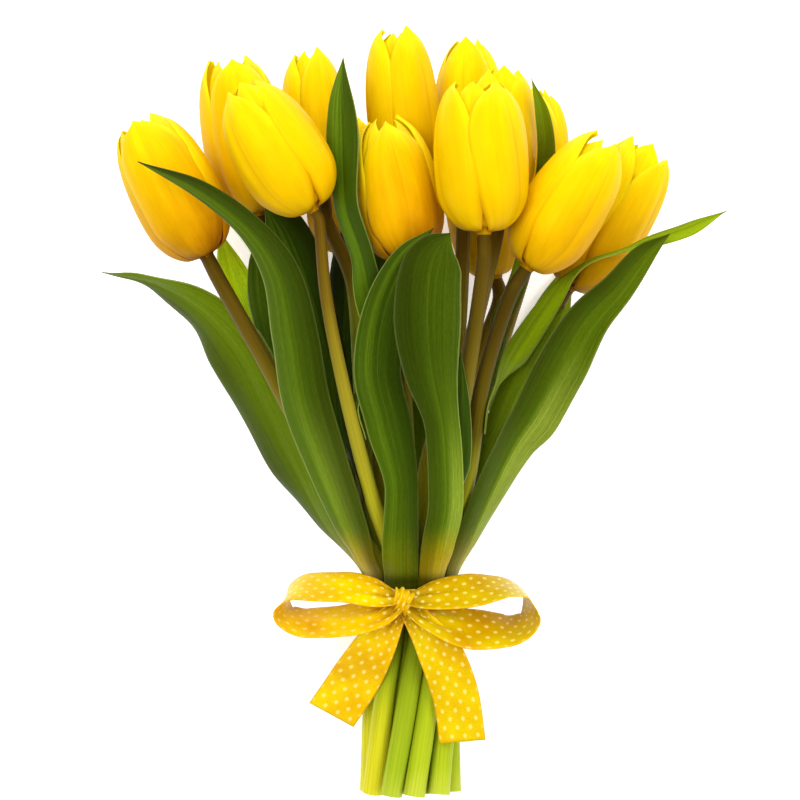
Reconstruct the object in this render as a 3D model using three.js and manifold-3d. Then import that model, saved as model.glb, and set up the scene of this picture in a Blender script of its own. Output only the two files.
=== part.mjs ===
// A bunch of fifteen yellow tulips, cut, tied with a satin ribbon in a bow and laid on its back.
// Millimetres. +Z is up, +Y runs from the cut ends to the blooms, and the bow lies on top.
// The origin is on the surface the bunch lies on, under the middle of its outline.
import * as THREE from "three";
import { mergeVertices } from "three/addons/utils/BufferGeometryUtils.js";
import Module from "manifold-3d";

const wasm = await Module();
wasm.setup();

const V = (x, y, z) => new THREE.Vector3(x, y, z);
const DEGREE = Math.PI / 180;
const VIEWER = V(0, 0, 1); // blooms, leaves and ribbon are turned about their own lines from facing up

// Sizes that drive the rest.
const TEPAL_THICK = 0.8;
const LEAF_THICK = 0.9;
const RIBBON_THICK = 0.8;
const CLEARANCE = 0.4; // between a stem and its bloom, and between a leaf and the stems it wraps

// The tied bundle: five stems round the middle and ten round them, as fifteen round stems pack.
const CUT_Y = -163.5;
const TIE_Y = -80;
const TIE_Z = 26.5;
const CUT_Z = 22.12;
const STEM_R_TIE = 4.0;
const STEM_R_CUT = 4.7;
const STEM_R_BLOOM = 2.9;
const PACKED_R = STEM_R_TIE + CLEARANCE / 2;
const INNER_RING = 1.701 * PACKED_R;
const OUTER_RING = 3.521 * PACKED_R;
const PAIR_ANGLE = 19.5; // half the angle between the two outer stems that share an inner one
const CUT_SPREAD = 1.19; // the bundle is this much wider at its cut ends
const CUT_TWIST = 48; // the stems spiral by this many degrees from the tie to the cut ends
const LEAF_RING = OUTER_RING + STEM_R_TIE + 0.4 + LEAF_THICK / 2;
const BAND_R = LEAF_RING + LEAF_THICK / 2 + 0.55;
const BAND_WIDE = 10;
const BAND_SIDES = 20;

// A tepal's outline, as shares of the bloom's length and radius: [height, radius], base to tip.
const PROFILE = [
  [0.012, 0.16], [0.04, 0.5], [0.13, 0.8], [0.27, 0.97], [0.44, 1.0],
  [0.62, 0.97], [0.79, 0.87], [0.92, 0.69], [1.0, 0.48],
];
const OUTER_ARC = 66 * DEGREE; // half the arc that an outer tepal covers at its widest
const INNER_ARC = 54 * DEGREE;
const TWIST = 12; // degrees that a bloom's tepals turn from base to tip, unless it has its own
const INNER_SINK = 2.4; // how far an inner tepal lies inside the outer ones
const INNER_RAISE = 1.7; // and how far above them at its base
const OVERLAP_LIFT = 1.5; // one edge of each outer tepal lies over its neighbour

// Smooth line through rows of numbers, at t from 0 to 1: each row may hold a place, a width and a turn.
// It never swings beyond the rows that it runs between.
function spline(rows, t) {
  const last = rows.length - 1;
  const at = Math.min(Math.max(t, 0), 1) * last;
  const i = Math.min(Math.floor(at), last - 1);
  const f = at - i;
  const rise = (n, k) => rows[n + 1][k] - rows[n][k];
  const slope = (n, k) => {
    const before = rise(Math.max(n - 1, 0), k);
    const after = rise(Math.min(n, last - 1), k);
    const steep = 2 * Math.min(Math.abs(before), Math.abs(after));
    return before * after > 0 ? Math.sign(after) * Math.min(Math.abs(before + after) / 2, steep) : 0;
  };
  return rows[i].map((value, k) => {
    const [start, end, up] = [slope(i, k), slope(i + 1, k), rise(i, k)];
    return value + f * (start + f * (3 * up - 2 * start - end + f * (start + end - 2 * up)));
  });
}

const evenly = (n) => Array.from({ length: n + 1 }, (_, i) => i / n);

// A closed mesh as a solid: equal points are made one and faces that have shrunk to nothing are dropped.
function solid(points, faces) {
  const raw = new THREE.BufferGeometry();
  raw.setAttribute("position", new THREE.Float32BufferAttribute(points.flatMap((p) => [p.x, p.y, p.z]), 3));
  raw.setIndex(faces);
  const merged = mergeVertices(raw, 1e-3);
  const index = merged.index.array;
  const kept = [];
  for (let i = 0; i < index.length; i += 3) {
    const [a, b, c] = index.slice(i, i + 3);
    if (a !== b && b !== c && c !== a) kept.push(a, b, c);
  }
  const vertProperties = merged.attributes.position.array;
  const build = (tri) =>
    new wasm.Manifold(new wasm.Mesh({ numProp: 3, vertProperties, triVerts: new Uint32Array(tri) }));
  const made = build(kept);
  return made.volume() > 0 ? made : build(kept.reverse());
}

// A thin closed blade. place(u, t, side) gives the point u across (-1 to 1) and t along (0 to 1),
// on its upper (1) or lower (-1) face. Both faces are split into the same triangles.
function blade(columns, rows, place) {
  const points = [];
  const faces = [];
  const wide = columns.length;
  for (const side of [1, -1]) for (const t of rows) for (const u of columns) points.push(place(u, t, side));
  const upper = (i, j) => i * wide + j;
  const lower = (i, j) => (rows.length + i) * wide + j;
  const quad = (a, b, c, d) => faces.push(a, b, c, a, c, d);
  for (let i = 0; i + 1 < rows.length; i++) {
    for (let j = 0; j + 1 < wide; j++) {
      quad(upper(i, j), upper(i, j + 1), upper(i + 1, j + 1), upper(i + 1, j));
      faces.push(lower(i, j), lower(i + 1, j + 1), lower(i, j + 1));
      faces.push(lower(i, j), lower(i + 1, j), lower(i + 1, j + 1));
    }
    quad(upper(i, 0), upper(i + 1, 0), lower(i + 1, 0), lower(i, 0));
    quad(upper(i + 1, wide - 1), upper(i, wide - 1), lower(i, wide - 1), lower(i + 1, wide - 1));
  }
  const end = rows.length - 1;
  for (let j = 0; j + 1 < wide; j++) {
    quad(upper(0, j + 1), upper(0, j), lower(0, j), lower(0, j + 1));
    quad(upper(end, j), upper(end, j + 1), lower(end, j + 1), lower(end, j));
  }
  return solid(points, faces);
}

// Gives a surface its thickness: half to each side, along its normal.
const thicken = (surface, thick) => (u, t, side) => {
  const [step, tip] = [0.02, Math.min(t, 0.97)];
  const along = surface(u, tip + step).sub(surface(u, tip - step));
  const across = surface(u + step, tip).sub(surface(u - step, tip));
  return surface(u, t).addScaledVector(across.cross(along).normalize(), (side * thick) / 2);
};

// A strip's surface from its stations [x, y, z, half width, roll, curl]. Roll turns its face from the
// viewer, in degrees, lifting its right edge. Curl is one over its cross-section's radius.
const strip = (stations) => (u, t) => {
  const [x, y, z, half, roll, curl] = spline(stations, t);
  const ahead = spline(stations, Math.min(t + 0.01, 1));
  const behind = spline(stations, Math.max(t - 0.01, 0));
  const along = V(ahead[0] - behind[0], ahead[1] - behind[1], ahead[2] - behind[2]).normalize();
  const { level, facing } = acrossLine(along);
  const [c, s] = [Math.cos(roll * DEGREE), Math.sin(roll * DEGREE)];
  const side = level.clone().multiplyScalar(c).addScaledVector(facing, s);
  const normal = facing.multiplyScalar(c).addScaledVector(level, -s);
  const arc = u * Math.max(half, 0) * curl;
  const flat = Math.abs(arc) < 1e-4;
  const out = flat ? u * Math.max(half, 0) : Math.sin(arc) / curl;
  const down = flat ? 0 : (1 - Math.cos(arc)) / curl;
  return V(x, y, z).addScaledVector(side, out).addScaledVector(normal, -down);
};

// Each tulip: its place in the tied bundle, the foot of its bloom and the way the bloom points, the
// bloom's length and radius, how far it has opened, its turn about its stem, and the stem's bends.
const inner = (k) => [INNER_RING, 90 + 72 * k];
const outer = (k, sign) => [OUTER_RING, 90 + 72 * k + sign * PAIR_ANGLE];
const TULIPS = [
  { slot: outer(1, -1), foot: [-84, 64, 83], to: [-29, 57, 4], long: 62, r: 17.2, open: 0.1, turn: 85,
    bends: [[-30, -40, 50], [-56, 12, 68]] },
  { slot: outer(1, 1), foot: [-64, 82.5, 62], to: [-12, 66, 2], long: 66, r: 16.4, open: 0.05, turn: 70,
    bends: [[-25, -40, 38], [-35, 20, 50], [-50, 62, 59]] },
  { slot: outer(0, 1), foot: [-39.5, 82, 99], to: [-32, 54, 0], long: 59, r: 17.8, open: -0.14, turn: 8,
    neck: 2.1, straight: 3.5, bends: [[-16, -37, 57], [-26.6, 5, 77], [-34.8, 47, 91]] },
  { slot: inner(1), foot: [-37, 91, 46], to: [-6, 61, -1], long: 62, r: 13.6, open: -0.02, turn: 45,
    bends: [[-18.5, -34, 38], [-21.5, 15, 41], [-24.5, 54, 43]] },
  { slot: inner(2), foot: [0, 99, 59.6], to: [-6.5, 64, 0], long: 61.5, r: 14.5, open: -0.04, turn: 40,
    bends: [[-3, -30, 37], [-5, 30, 50]] },
  { slot: inner(0), foot: [-0.9, 62, 84], to: [-10.6, 60, 2], long: 59, r: 17.3, open: -0.12, turn: 75,
    bends: [[-1, -30, 53], [-3, 18, 69]] },
  { slot: outer(2, 1), foot: [-31, 68, 14.4], to: [6, 61, 0], long: 60, r: 15, open: -0.14, turn: 45,
    lies: true, bends: [[-13, -30, 17], [-26, 25, 17]] },
  { slot: inner(3), foot: [23, 96, 38.5], to: [2, 64, -1], long: 62, r: 14.4, open: -0.02, turn: 90,
    bends: [[6, -30, 33], [20, 30, 38]] },
  { slot: outer(0, -1), foot: [29.5, 72.5, 103], to: [-1.5, 62, 0], long: 61, r: 18.2, open: 0.08, turn: 24,
    twist: 34, bends: [[15, -30, 60], [24, 20, 82]] },
  { slot: inner(4), foot: [36.4, 86, 68], to: [2, 57, 1], long: 57, r: 14.2, open: 0, turn: 15,
    bends: [[14, -30, 45], [25.5, 30, 58]] },
  { slot: outer(3, 1), foot: [51, 77, 35], to: [3, 61, 0], long: 60, r: 14, open: 0, turn: 95,
    bends: [[21, -30, 27], [37.5, 25, 32]] },
  { slot: outer(4, 1), foot: [47, 59, 90], to: [35, 54, 0], long: 62, r: 16.8, open: -0.1, turn: 52,
    bends: [[23.5, -30, 53], [30, 13, 72]] },
  { slot: outer(4, -1), foot: [66, 52, 52], to: [35, 58, 0], long: 69, r: 16.3, open: 0.12, turn: 25,
    bends: [[26, -35, 35], [44, 12, 44]] },
  { slot: outer(3, -1), foot: [37, 58, 13.8], to: [-13, 60, 0], long: 58, r: 14.4, open: -0.14, turn: 45,
    lies: true, bends: [[13, -30, 16], [28, 20, 16]] },
  { slot: outer(2, -1), foot: [-62, 76, 13.8], to: [-2, 57, 0], long: 56, r: 14.4, open: -0.14, turn: 45,
    lies: true, bends: [[-22, -35, 20], [-44, 25, 17]] },
];

// Where the bundle's middle is, how far it has spread and how far it has turned, at a height along it.
function bundleAt(y) {
  const down = Math.max((TIE_Y - y) / (TIE_Y - CUT_Y), 0);
  const [z, spread] = [TIE_Z + (CUT_Z - TIE_Z) * down, 1 + (CUT_SPREAD - 1) * down];
  return { z, spread, twist: CUT_TWIST * down };
}

// A place in the bundle from its ring, its angle in degrees and its height.
function inBundle([ring, angle], y) {
  const { z, spread, twist } = bundleAt(y);
  const turned = (angle + twist) * DEGREE;
  return [ring * spread * Math.cos(turned), y, z + ring * spread * Math.sin(turned)];
}

const SIDES = 6;
const BELOW_FOOT = 8; // a stem runs straight for this far under its bloom, unless it has its own
const TIED_POINTS = 4; // the points of a stem's line that lie in the bundle, from the cut up

// A stem's line: the points that it runs through, from where it was cut to the foot of its bloom.
function stemLine(tulip) {
  const foot = V(...tulip.foot);
  const straight = foot.clone().addScaledVector(V(...tulip.to).normalize(), -(tulip.straight ?? BELOW_FOOT));
  const lower = [CUT_Y, (CUT_Y + TIE_Y) / 2, TIE_Y - 8, TIE_Y + 8].map((y) => inBundle(tulip.slot, y));
  return [...lower, ...tulip.bends, straight.toArray(), foot.toArray()];
}

// The two directions across a line: level, and as near to the viewer as can be.
function acrossLine(along) {
  const level = along.clone().cross(VIEWER).normalize();
  return { level, facing: level.clone().cross(along) };
}

// A point at a distance and angle round a line, 90 degrees being the side that faces the viewer.
function around(centre, along, distance, angle) {
  const { level, facing } = acrossLine(along);
  return centre.clone()
    .addScaledVector(level, distance * Math.cos(angle * DEGREE))
    .addScaledVector(facing, distance * Math.sin(angle * DEGREE));
}

// A stem's middle, direction and radius at t from 0 at the cut to 1 at the bloom.
function stemAt(tulip, t) {
  const line = stemLine(tulip);
  const tied = (TIED_POINTS - 1) / (line.length - 1);
  const radius = t < tied
    ? THREE.MathUtils.lerp(STEM_R_CUT, STEM_R_TIE, t / tied)
    : THREE.MathUtils.lerp(STEM_R_TIE, tulip.neck ?? STEM_R_BLOOM, ((t - tied) / (1 - tied)) ** 0.6);
  const along = V(...spline(line, t + 0.004)).sub(V(...spline(line, t - 0.004))).normalize();
  return { centre: V(...spline(line, t)), along, radius };
}

// A round solid through rings of a centre, a direction and a radius.
function tube(rings, turn = 0) {
  const points = [];
  const faces = [];
  const last = rings.length - 1;
  const at = (i, k) => i * SIDES + (k % SIDES);
  for (const { centre, along, radius } of rings)
    for (let k = 0; k < SIDES; k++)
      points.push(around(centre, along, radius, turn + (360 * (k + 0.5)) / SIDES));
  for (let i = 0; i < last; i++)
    for (let k = 0; k < SIDES; k++) {
      faces.push(at(i, k), at(i, k + 1), at(i + 1, k + 1));
      faces.push(at(i, k), at(i + 1, k + 1), at(i + 1, k));
    }
  for (let k = 1; k + 1 < SIDES; k++) {
    faces.push(at(0, 0), at(0, k + 1), at(0, k));
    faces.push(at(last, 0), at(last, k), at(last, k + 1));
  }
  return solid(points, faces);
}

// A round stem, thickest where it was cut, with two rings for each part of its line. The stems at the
// back have fewer.
function stem(tulip) {
  const parts = tulip.lies ? 10 : 2 * (stemLine(tulip).length - 1);
  return tube(evenly(parts).map((t) => stemAt(tulip, t)));
}

// Small even differences between the tepals of a bloom and between blooms.
const vary = (n) => Math.sin(2.4 * n + 0.7);

// How far a tepal reaches round the bloom at s along it, as a share of its widest.
function reach(s) {
  const rise = 0.68 + 0.32 * Math.sin(Math.min(s / 0.45, 1) * (Math.PI / 2));
  const point = 1 - Math.max((s - 0.5) / 0.5, 0) ** 3.2;
  return rise * point;
}

// One tepal's surface. Even ones are the outer three, odd ones the inner three.
function tepal(tulip, number, k) {
  const up = V(...tulip.to).normalize();
  const foot = V(...tulip.foot).addScaledVector(up, CLEARANCE);
  const isInner = k % 2 === 1;
  const seed = number * 6 + k;
  const middle = tulip.turn + 60 * k + 1.5 * vary(seed);
  const arc = isInner ? INNER_ARC : OUTER_ARC;
  const long = tulip.long * (1 + 0.02 * vary(seed + 3));
  const open = tulip.open + 0.03 * vary(seed + 5);
  const twist = tulip.twist ?? TWIST;
  return (u, s) => {
    const [height, width] = spline(PROFILE, s);
    const overlap = OVERLAP_LIFT * (u + 1) * 0.5 * Math.sin(Math.PI * s);
    const lift = isInner ? -INNER_SINK * Math.min(5 * s, 1) : overlap;
    const raise = isInner ? INNER_RAISE * (1 - s) ** 4 : 0;
    const r = Math.max(tulip.r * (width + open * s * s * s) + lift, 1.2);
    const centre = foot.clone().addScaledVector(up, height * long + raise);
    return around(centre, up, r, middle + twist * s + (u * arc * reach(s)) / DEGREE);
  };
}

const TEPAL_ROWS = [0, 0.16, 0.42, 0.74, 1];
const PRESSED_ROWS = [0, 0.16, 0.34, 0.52, 0.76, 1]; // two rows lie flat where a bloom is pressed
const RECEPTACLE = [[0, STEM_R_BLOOM], [3.6, 4.7]]; // heights and radii

// The swollen top of the stem that the tepals grow from.
function receptacle(tulip) {
  const along = V(...tulip.to).normalize();
  const at = (height) => V(...tulip.foot).addScaledVector(along, CLEARANCE + height);
  return tube(RECEPTACLE.map(([height, radius]) => ({ centre: at(height), along, radius })), tulip.turn);
}

// Six tepals in two layers on their receptacle. The lowest blooms are pressed flat on what they lie on.
function bloom(tulip, number) {
  const press = (place) => (u, t, side) => {
    const p = place(u, t, side);
    p.z = Math.max(p.z, side > 0 ? TEPAL_THICK : 0);
    return p;
  };
  const tepals = evenly(5).map((_, k) => {
    const columns = k % 2 === 0 ? [-1, -0.5, 0, 0.5, 1] : [-1, 0, 1];
    const rows = tulip.lies && k % 2 === 0 ? PRESSED_ROWS : TEPAL_ROWS;
    return blade(columns, rows, press(thicken(tepal(tulip, number, k), TEPAL_THICK)));
  });
  return wasm.Manifold.union([receptacle(tulip), ...tepals]);
}

// A leaf that is held under the ribbon starts round the bundle at an angle, 90 being the top.
function tied(angle, half) {
  const [c, s] = [Math.cos(angle * DEGREE), Math.sin(angle * DEGREE)];
  const station = (y) => [LEAF_RING * c, y, bundleAt(y).z + LEAF_RING * s, half, angle - 90, 1 / LEAF_RING];
  return [station(TIE_Y - 5), station(TIE_Y + 7)];
}

// A leaf that grows higher up starts wrapped round a tulip's stem, from one y to another.
function clasping(number, from, to, angle, half) {
  const tulip = TULIPS[number - 1];
  return [from, to].map((y) => {
    let [low, high] = [0, 1];
    while (high - low > 1e-4) {
      const middle = (low + high) / 2;
      if (stemAt(tulip, middle).centre.y < y) low = middle;
      else high = middle;
    }
    const { centre, along, radius } = stemAt(tulip, low);
    const distance = radius + CLEARANCE + LEAF_THICK / 2;
    return [...around(centre, along, distance, angle).toArray(), half, angle - 90, 1 / distance];
  });
}

// Leaves by name, as stations of a strip from its base to its tip.
const LEAVES = {
  left: [...tied(182, 6), [-38, -47, 35, 9, 60, 0.045], [-50, -24, 41, 12, 35, 0.04],
    [-62, 1, 49, 14, 25, 0.035], [-74, 25, 56, 14, 25, 0.035], [-90, 43, 60, 10.5, 40, 0.05],
    [-109, 54, 61, 5.5, 60, 0.08], [-130, 59, 60, 0, 70, 0.08]],
  left_front: [...tied(144, 6), [-20.5, -62, 47.5, 6.5, 48, 0.05], [-26, -48, 56, 8, 30, 0.05],
    [-36, -20, 68, 9.5, 18, 0.045], [-44, 5, 79, 10.5, 12, 0.04], [-48, 31, 90, 10, 10, 0.045],
    [-53, 56, 103, 8, 14, 0.06], [-65, 74, 113, 5.8, 20, 0.08], [-86, 90, 117, 4.2, 30, 0.1],
    [-110, 101, 117, 0, 40, 0.1]],
  left_behind: [...tied(218, 4.5), [-32, -48, 16, 7, 80, 0.05], [-47, -18, 21, 9, 40, 0.04],
    [-60, 12, 26, 10, 20, 0.03], [-70, 40, 30, 10, 15, 0.03], [-77, 60, 32, 7, 15, 0.04],
    [-82, 78, 33, 0, 15, 0.05]],
  left_inner: [...clasping(2, -44, -30, 200, 4.5), [-42, -6, 34, 7, 40, 0.05], [-54, 20, 40, 8, 20, 0.04],
    [-61, 45, 43, 8, 10, 0.04], [-64, 62, 42, 5.5, 5, 0.05], [-66, 75, 40, 0, 5, 0.05]],
  left_dark: [...clasping(3, -36, -26, 208, 3), [-30, -8, 59, 6.2, 20, 0.05],
    [-33.5, 18, 61.5, 7.5, 15, 0.04], [-39.5, 42, 66, 8.5, 5, 0.04], [-46, 62, 70.5, 9.5, 0, 0.04],
    [-52.5, 76.5, 73.5, 8.5, 0, 0.04], [-61, 87, 77.5, 0, 0, 0.05]],
  centre_dark: [...clasping(4, -22, -12, 270, 3.4), [-25, 8, 33.5, 7, 180, -0.05],
    [-27, 30, 34, 9, 180, -0.04], [-26, 50, 35, 9.5, 180, -0.04], [-26.5, 67, 36.5, 7, 180, -0.04],
    [-28, 82, 36, 0, 180, -0.05]],
  centre_back: [...clasping(5, -22, -12, 262, 3.4), [-9, 8, 34, 7, 180, -0.05], [-11.5, 30, 38, 9, 180, -0.04],
    [-12, 50, 41, 9, 180, -0.04], [-12, 67, 43, 6.5, 180, -0.04], [-12, 83, 43.5, 0, 180, -0.05]],
  upright: [...clasping(3, -12, 0, -45, 4), [-17, 13, 71, 5, -85, 0.1], [-16, 34, 77, 6, -62, 0.06],
    [-20, 62, 91, 6.2, 40, 0.05], [-27.6, 87, 94, 7.8, 48, 0.04],
    [-28.6, 108, 92, 8.6, 40, 0.04], [-29, 127, 89.5, 6.2, 34, 0.05], [-28, 146, 88, 0, 30, 0.05]],
  middle: [...tied(103, 7.5), [-4.6, -59, 54.5, 7.8, 2, 0.05], [-4, -33, 66, 7, -2, 0.04],
    [-9.2, -5, 73.5, 9.6, -2, 0.035], [-14, 18, 83, 9.8, -5, 0.035], [-11, 42, 92, 8.8, 0, 0.04],
    [-2.5, 62, 101, 6, 10, 0.06], [9, 75, 106, 0, 20, 0.08]],
  front: [...tied(62, 6), [11.5, -56, 59, 7, -8, 0.04], [14.5, -36, 72, 7.3, -4, 0.03],
    [13, -7, 85, 7.3, 0, 0.03], [8, 18, 96, 11.5, 0, 0.028], [6.5, 39, 105, 13.9, 0, 0.03],
    [7.5, 56, 111, 13.2, 2, 0.04], [10.5, 65.5, 113.5, 9, 4, 0.06], [15.5, 72.5, 115, 0, 10, 0.08]],
  behind_front: [...clasping(9, -50, -38, 95, 5.5), [17.5, -20, 71, 7.5, 0, 0.05],
    [18.5, 2, 80.5, 6, 0, 0.06], [20.5, 25, 89, 0, 0, 0.06]],
  right: [...tied(22, 6), [25, -54, 44, 7.5, -50, 0.05], [33.5, -34, 52, 8.5, -38, 0.03],
    [43, -14, 59, 9.5, -28, -0.02], [51.5, 0, 64, 12, -20, -0.05], [61, 18, 69, 12, -15, -0.05],
    [72.5, 38, 73, 10, -12, -0.05], [85, 51.5, 77, 7.5, -10, -0.05], [96, 65, 79, 5, -10, -0.05],
    [107, 74, 80, 0, -10, -0.05]],
  right_arching: [...clasping(12, -8, 3, -25, 3.6), [37.5, 13, 65.5, 5, -78, 0.1],
    [44.5, 25, 66.5, 5.6, -20, 0.05], [51.5, 36, 67, 5.2, -10, 0.05], [59, 47, 68.5, 4.2, -5, 0.06],
    [66, 56.5, 71, 2.6, 45, 0.07], [74.5, 63, 73, 1.7, 62, 0.08], [87, 67, 74, 1.6, 58, 0.08],
    [101, 71.5, 74.5, 3, 30, 0.08], [115, 76, 75, 3, 10, 0.08], [131, 83.8, 75, 0, 10, 0.08]],
  right_inner: [...clasping(13, -48, -34, 100, 5), [38, -8, 48.5, 7.5, -10, 0.05],
    [47, 12, 53, 8.5, -10, 0.04], [55, 27, 58, 7.5, -10, 0.04], [64.5, 45, 61, 0, -10, 0.05]],
  right_back: [...tied(-28, 5.5), [26, -50, 11, 8, -95, 0.05], [38, -18, 8, 10, -40, 0.03],
    [51, 15, 5, 10.5, -10, 0.015], [62, 44, 2.6, 8, 0, 0.01], [71, 68, 1.6, 0, 0, 0.01]],
  top_right: [...clasping(11, 2, 16, 80, 4.2), [37.5, 37, 44, 4.2, 15, 0.06], [45, 55, 54, 4, 0, 0.05],
    [50.5, 75, 58.5, 3.8, 0, 0.05], [55, 92, 62, 4, 0, 0.05], [56.3, 107, 72, 3.8, 0, 0.05],
    [54.3, 123, 81, 3, 0, 0.06], [49.5, 138, 84, 0, 0, 0.08]],
  back_left: [...tied(253, 5.5), [-14, -52, 6, 8.5, 155, 0.02], [-25, -22, 4.5, 10.5, 172, 0.015],
    [-38, 8, 3.6, 11, 180, 0.01], [-51, 35, 3, 9, 180, 0.01], [-64, 60, 2.4, 0, 180, 0.01]],
  back_middle: [...tied(290, 6), [5.5, -52, 4, 8.5, 184, 0.02], [6, -22, 3, 11, 180, 0.01],
    [9, 8, 2.4, 11, 180, 0.01], [11, 30, 2, 9, 180, 0.01], [14, 53, 1.6, 0, 180, 0.01]],
};

// A leaf has a row of faces for each of its stations.
function leaf(stations) {
  return blade([-1, -0.4, 0.4, 1], evenly(stations.length - 1), thicken(strip(stations), LEAF_THICK));
}

// The ribbon is one strip: it goes round the bundle and leaves its knot as two loops and two tails.
const RIBBON_HALF = 11;
const KNOT = V(-3.4, TIE_Y, TIE_Z + BAND_R + 3.9);
const KNOT_SIZE = V(6.6, 6.2, 4.6);
const GATHERED = 3.6; // half its width where it is gathered into the knot
const RIBBON_ENDS = {
  left_loop: [[-4, -79, 51, GATHERED, 117, 0], [-15, -76, 54, 9, 127, 0],
    [-29, -73.5, 54.5, RIBBON_HALF, 121, 0], [-43, -73.5, 52.5, RIBBON_HALF, 116, 0],
    [-52, -76.5, 50.5, RIBBON_HALF, 96, 0], [-54, -84, 49.8, RIBBON_HALF, 70, 0],
    [-44, -89, 51, RIBBON_HALF, 62, 0], [-28, -88, 53, RIBBON_HALF, 58, 0], [-14, -85, 53.5, 8.8, 52, 0],
    [-4, -81, 51, GATHERED, 60, 0]],
  right_loop: [[-3, -79, 51, GATHERED, -120, 0], [9, -77, 54.5, 8.8, -128, 0],
    [25, -75, 55.5, RIBBON_HALF, -126, 0], [39, -73.5, 53.5, RIBBON_HALF, -110, 0],
    [49, -77.5, 51, RIBBON_HALF, -88, 0], [50.5, -86, 50, RIBBON_HALF, -70, 0],
    [41, -92, 51, RIBBON_HALF, -56, 0], [26, -91.5, 53, RIBBON_HALF, -44, 0], [9, -86.5, 53.5, 8.8, -50, 0],
    [-3, -81, 51, GATHERED, -60, 0]],
  left_tail: [[-4, -80.5, 51, GATHERED, 190, 0], [-9.5, -88.5, 52.5, 6.5, 190, 0],
    [-16, -100, 50, 9.5, 195, 0], [-24.5, -115, 42, RIBBON_HALF, 195, 0],
    [-34, -129.5, 35, RIBBON_HALF, 190, 0]],
  right_tail: [[-3, -80.5, 51, GATHERED, 172, 0], [4.5, -89.5, 53.5, 6.5, 172, 0],
    [12.5, -102, 52, 9.5, 170, 0], [19, -120, 48, 10, 170, 0], [22, -140, 44, 10, 172, 0]],
};

// The ribbon's turn round the bundle.
function band() {
  const disc = (radius, wide) => fromGeometry(new THREE.CylinderGeometry(radius, radius, wide, BAND_SIDES));
  return disc(BAND_R + RIBBON_THICK, BAND_WIDE)
    .subtract(disc(BAND_R, BAND_WIDE + 2))
    .translate(0, TIE_Y, TIE_Z);
}

// A three.js geometry as a solid.
function fromGeometry(geometry) {
  const at = geometry.getAttribute("position");
  const points = Array.from({ length: at.count }, (_, i) => V(at.getX(i), at.getY(i), at.getZ(i)));
  return solid(points, Array.from(geometry.index.array));
}

// The whole ribbon: its turn round the bundle, knot, loops and tails in one.
function ribbon() {
  const knot = new THREE.SphereGeometry(1, 8, 5).scale(...KNOT_SIZE.toArray()).translate(...KNOT.toArray());
  const ends = Object.values(RIBBON_ENDS).map((stations) => {
    const rows = evenly(stations.length > 6 ? 16 : 7);
    return blade([-1, 1], rows, thicken(strip(stations), RIBBON_THICK));
  });
  return wasm.Manifold.union([band(), fromGeometry(knot), ...ends]);
}

const MATERIALS = {
  bloom: { color: 0xf5c400, roughness: 0.55 },
  stem: { color: 0x8fa83a, roughness: 0.5 },
  leaf: { color: 0x3f6b22, roughness: 0.5 },
  ribbon: { color: 0xf2b10c, roughness: 0.35 },
};

const bunch = new THREE.Group();

// Adds a solid to the bunch as one named mesh.
function add(name, finish, made) {
  const { vertProperties, triVerts } = made.getMesh();
  const geometry = new THREE.BufferGeometry();
  geometry.setAttribute("position", new THREE.BufferAttribute(vertProperties, 3));
  geometry.setIndex(new THREE.BufferAttribute(triVerts, 1));
  geometry.computeVertexNormals();
  const material = new THREE.MeshStandardMaterial({ metalness: 0, ...MATERIALS[finish] });
  const mesh = new THREE.Mesh(geometry, material);
  mesh.name = name;
  bunch.add(mesh);
}

TULIPS.forEach((tulip, i) => {
  const number = String(i + 1).padStart(2, "0");
  add("stem_" + number, "stem", stem(tulip));
  add("bloom_" + number, "bloom", bloom(tulip, i));
});
for (const [name, stations] of Object.entries(LEAVES))
  add("leaf_" + name, "leaf", leaf(stations));

add("ribbon", "ribbon", ribbon());

// The origin goes under the middle of the outline, on the surface below.
const outline = new THREE.Box3().setFromObject(bunch);
const middle = outline.getCenter(new THREE.Vector3());
bunch.position.set(-middle.x, -middle.y, -outline.min.z);

export default bunch;
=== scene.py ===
"""A bunch of fifteen yellow tulips tied with a satin ribbon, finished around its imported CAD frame.

Shapes are given in millimetres, as the CAD source gives them, and become metres when a piece's points
are placed. +Z is up, +Y runs from the cut ends to the blooms, and the bow lies on top.
"""

import math

import bpy
import numpy as np
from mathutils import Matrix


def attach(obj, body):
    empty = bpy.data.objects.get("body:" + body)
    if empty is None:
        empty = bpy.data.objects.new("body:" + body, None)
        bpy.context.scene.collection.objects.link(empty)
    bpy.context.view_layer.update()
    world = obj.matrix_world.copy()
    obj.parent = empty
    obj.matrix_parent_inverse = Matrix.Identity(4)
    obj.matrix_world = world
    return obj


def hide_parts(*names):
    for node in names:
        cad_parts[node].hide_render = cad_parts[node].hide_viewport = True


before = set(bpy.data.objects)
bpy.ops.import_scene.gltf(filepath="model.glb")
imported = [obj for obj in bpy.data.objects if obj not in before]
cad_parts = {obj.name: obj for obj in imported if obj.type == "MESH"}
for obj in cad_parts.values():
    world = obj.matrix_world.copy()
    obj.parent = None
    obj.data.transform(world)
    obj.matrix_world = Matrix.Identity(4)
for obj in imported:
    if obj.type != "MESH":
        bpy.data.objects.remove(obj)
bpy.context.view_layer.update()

MM = 0.001
BUNCH_SHIFT = np.array((-0.480309, 1.091919, 0.0))  # puts the middle of the bunch's outline on the origin

# The bunch's sizes, as in its CAD source

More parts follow.
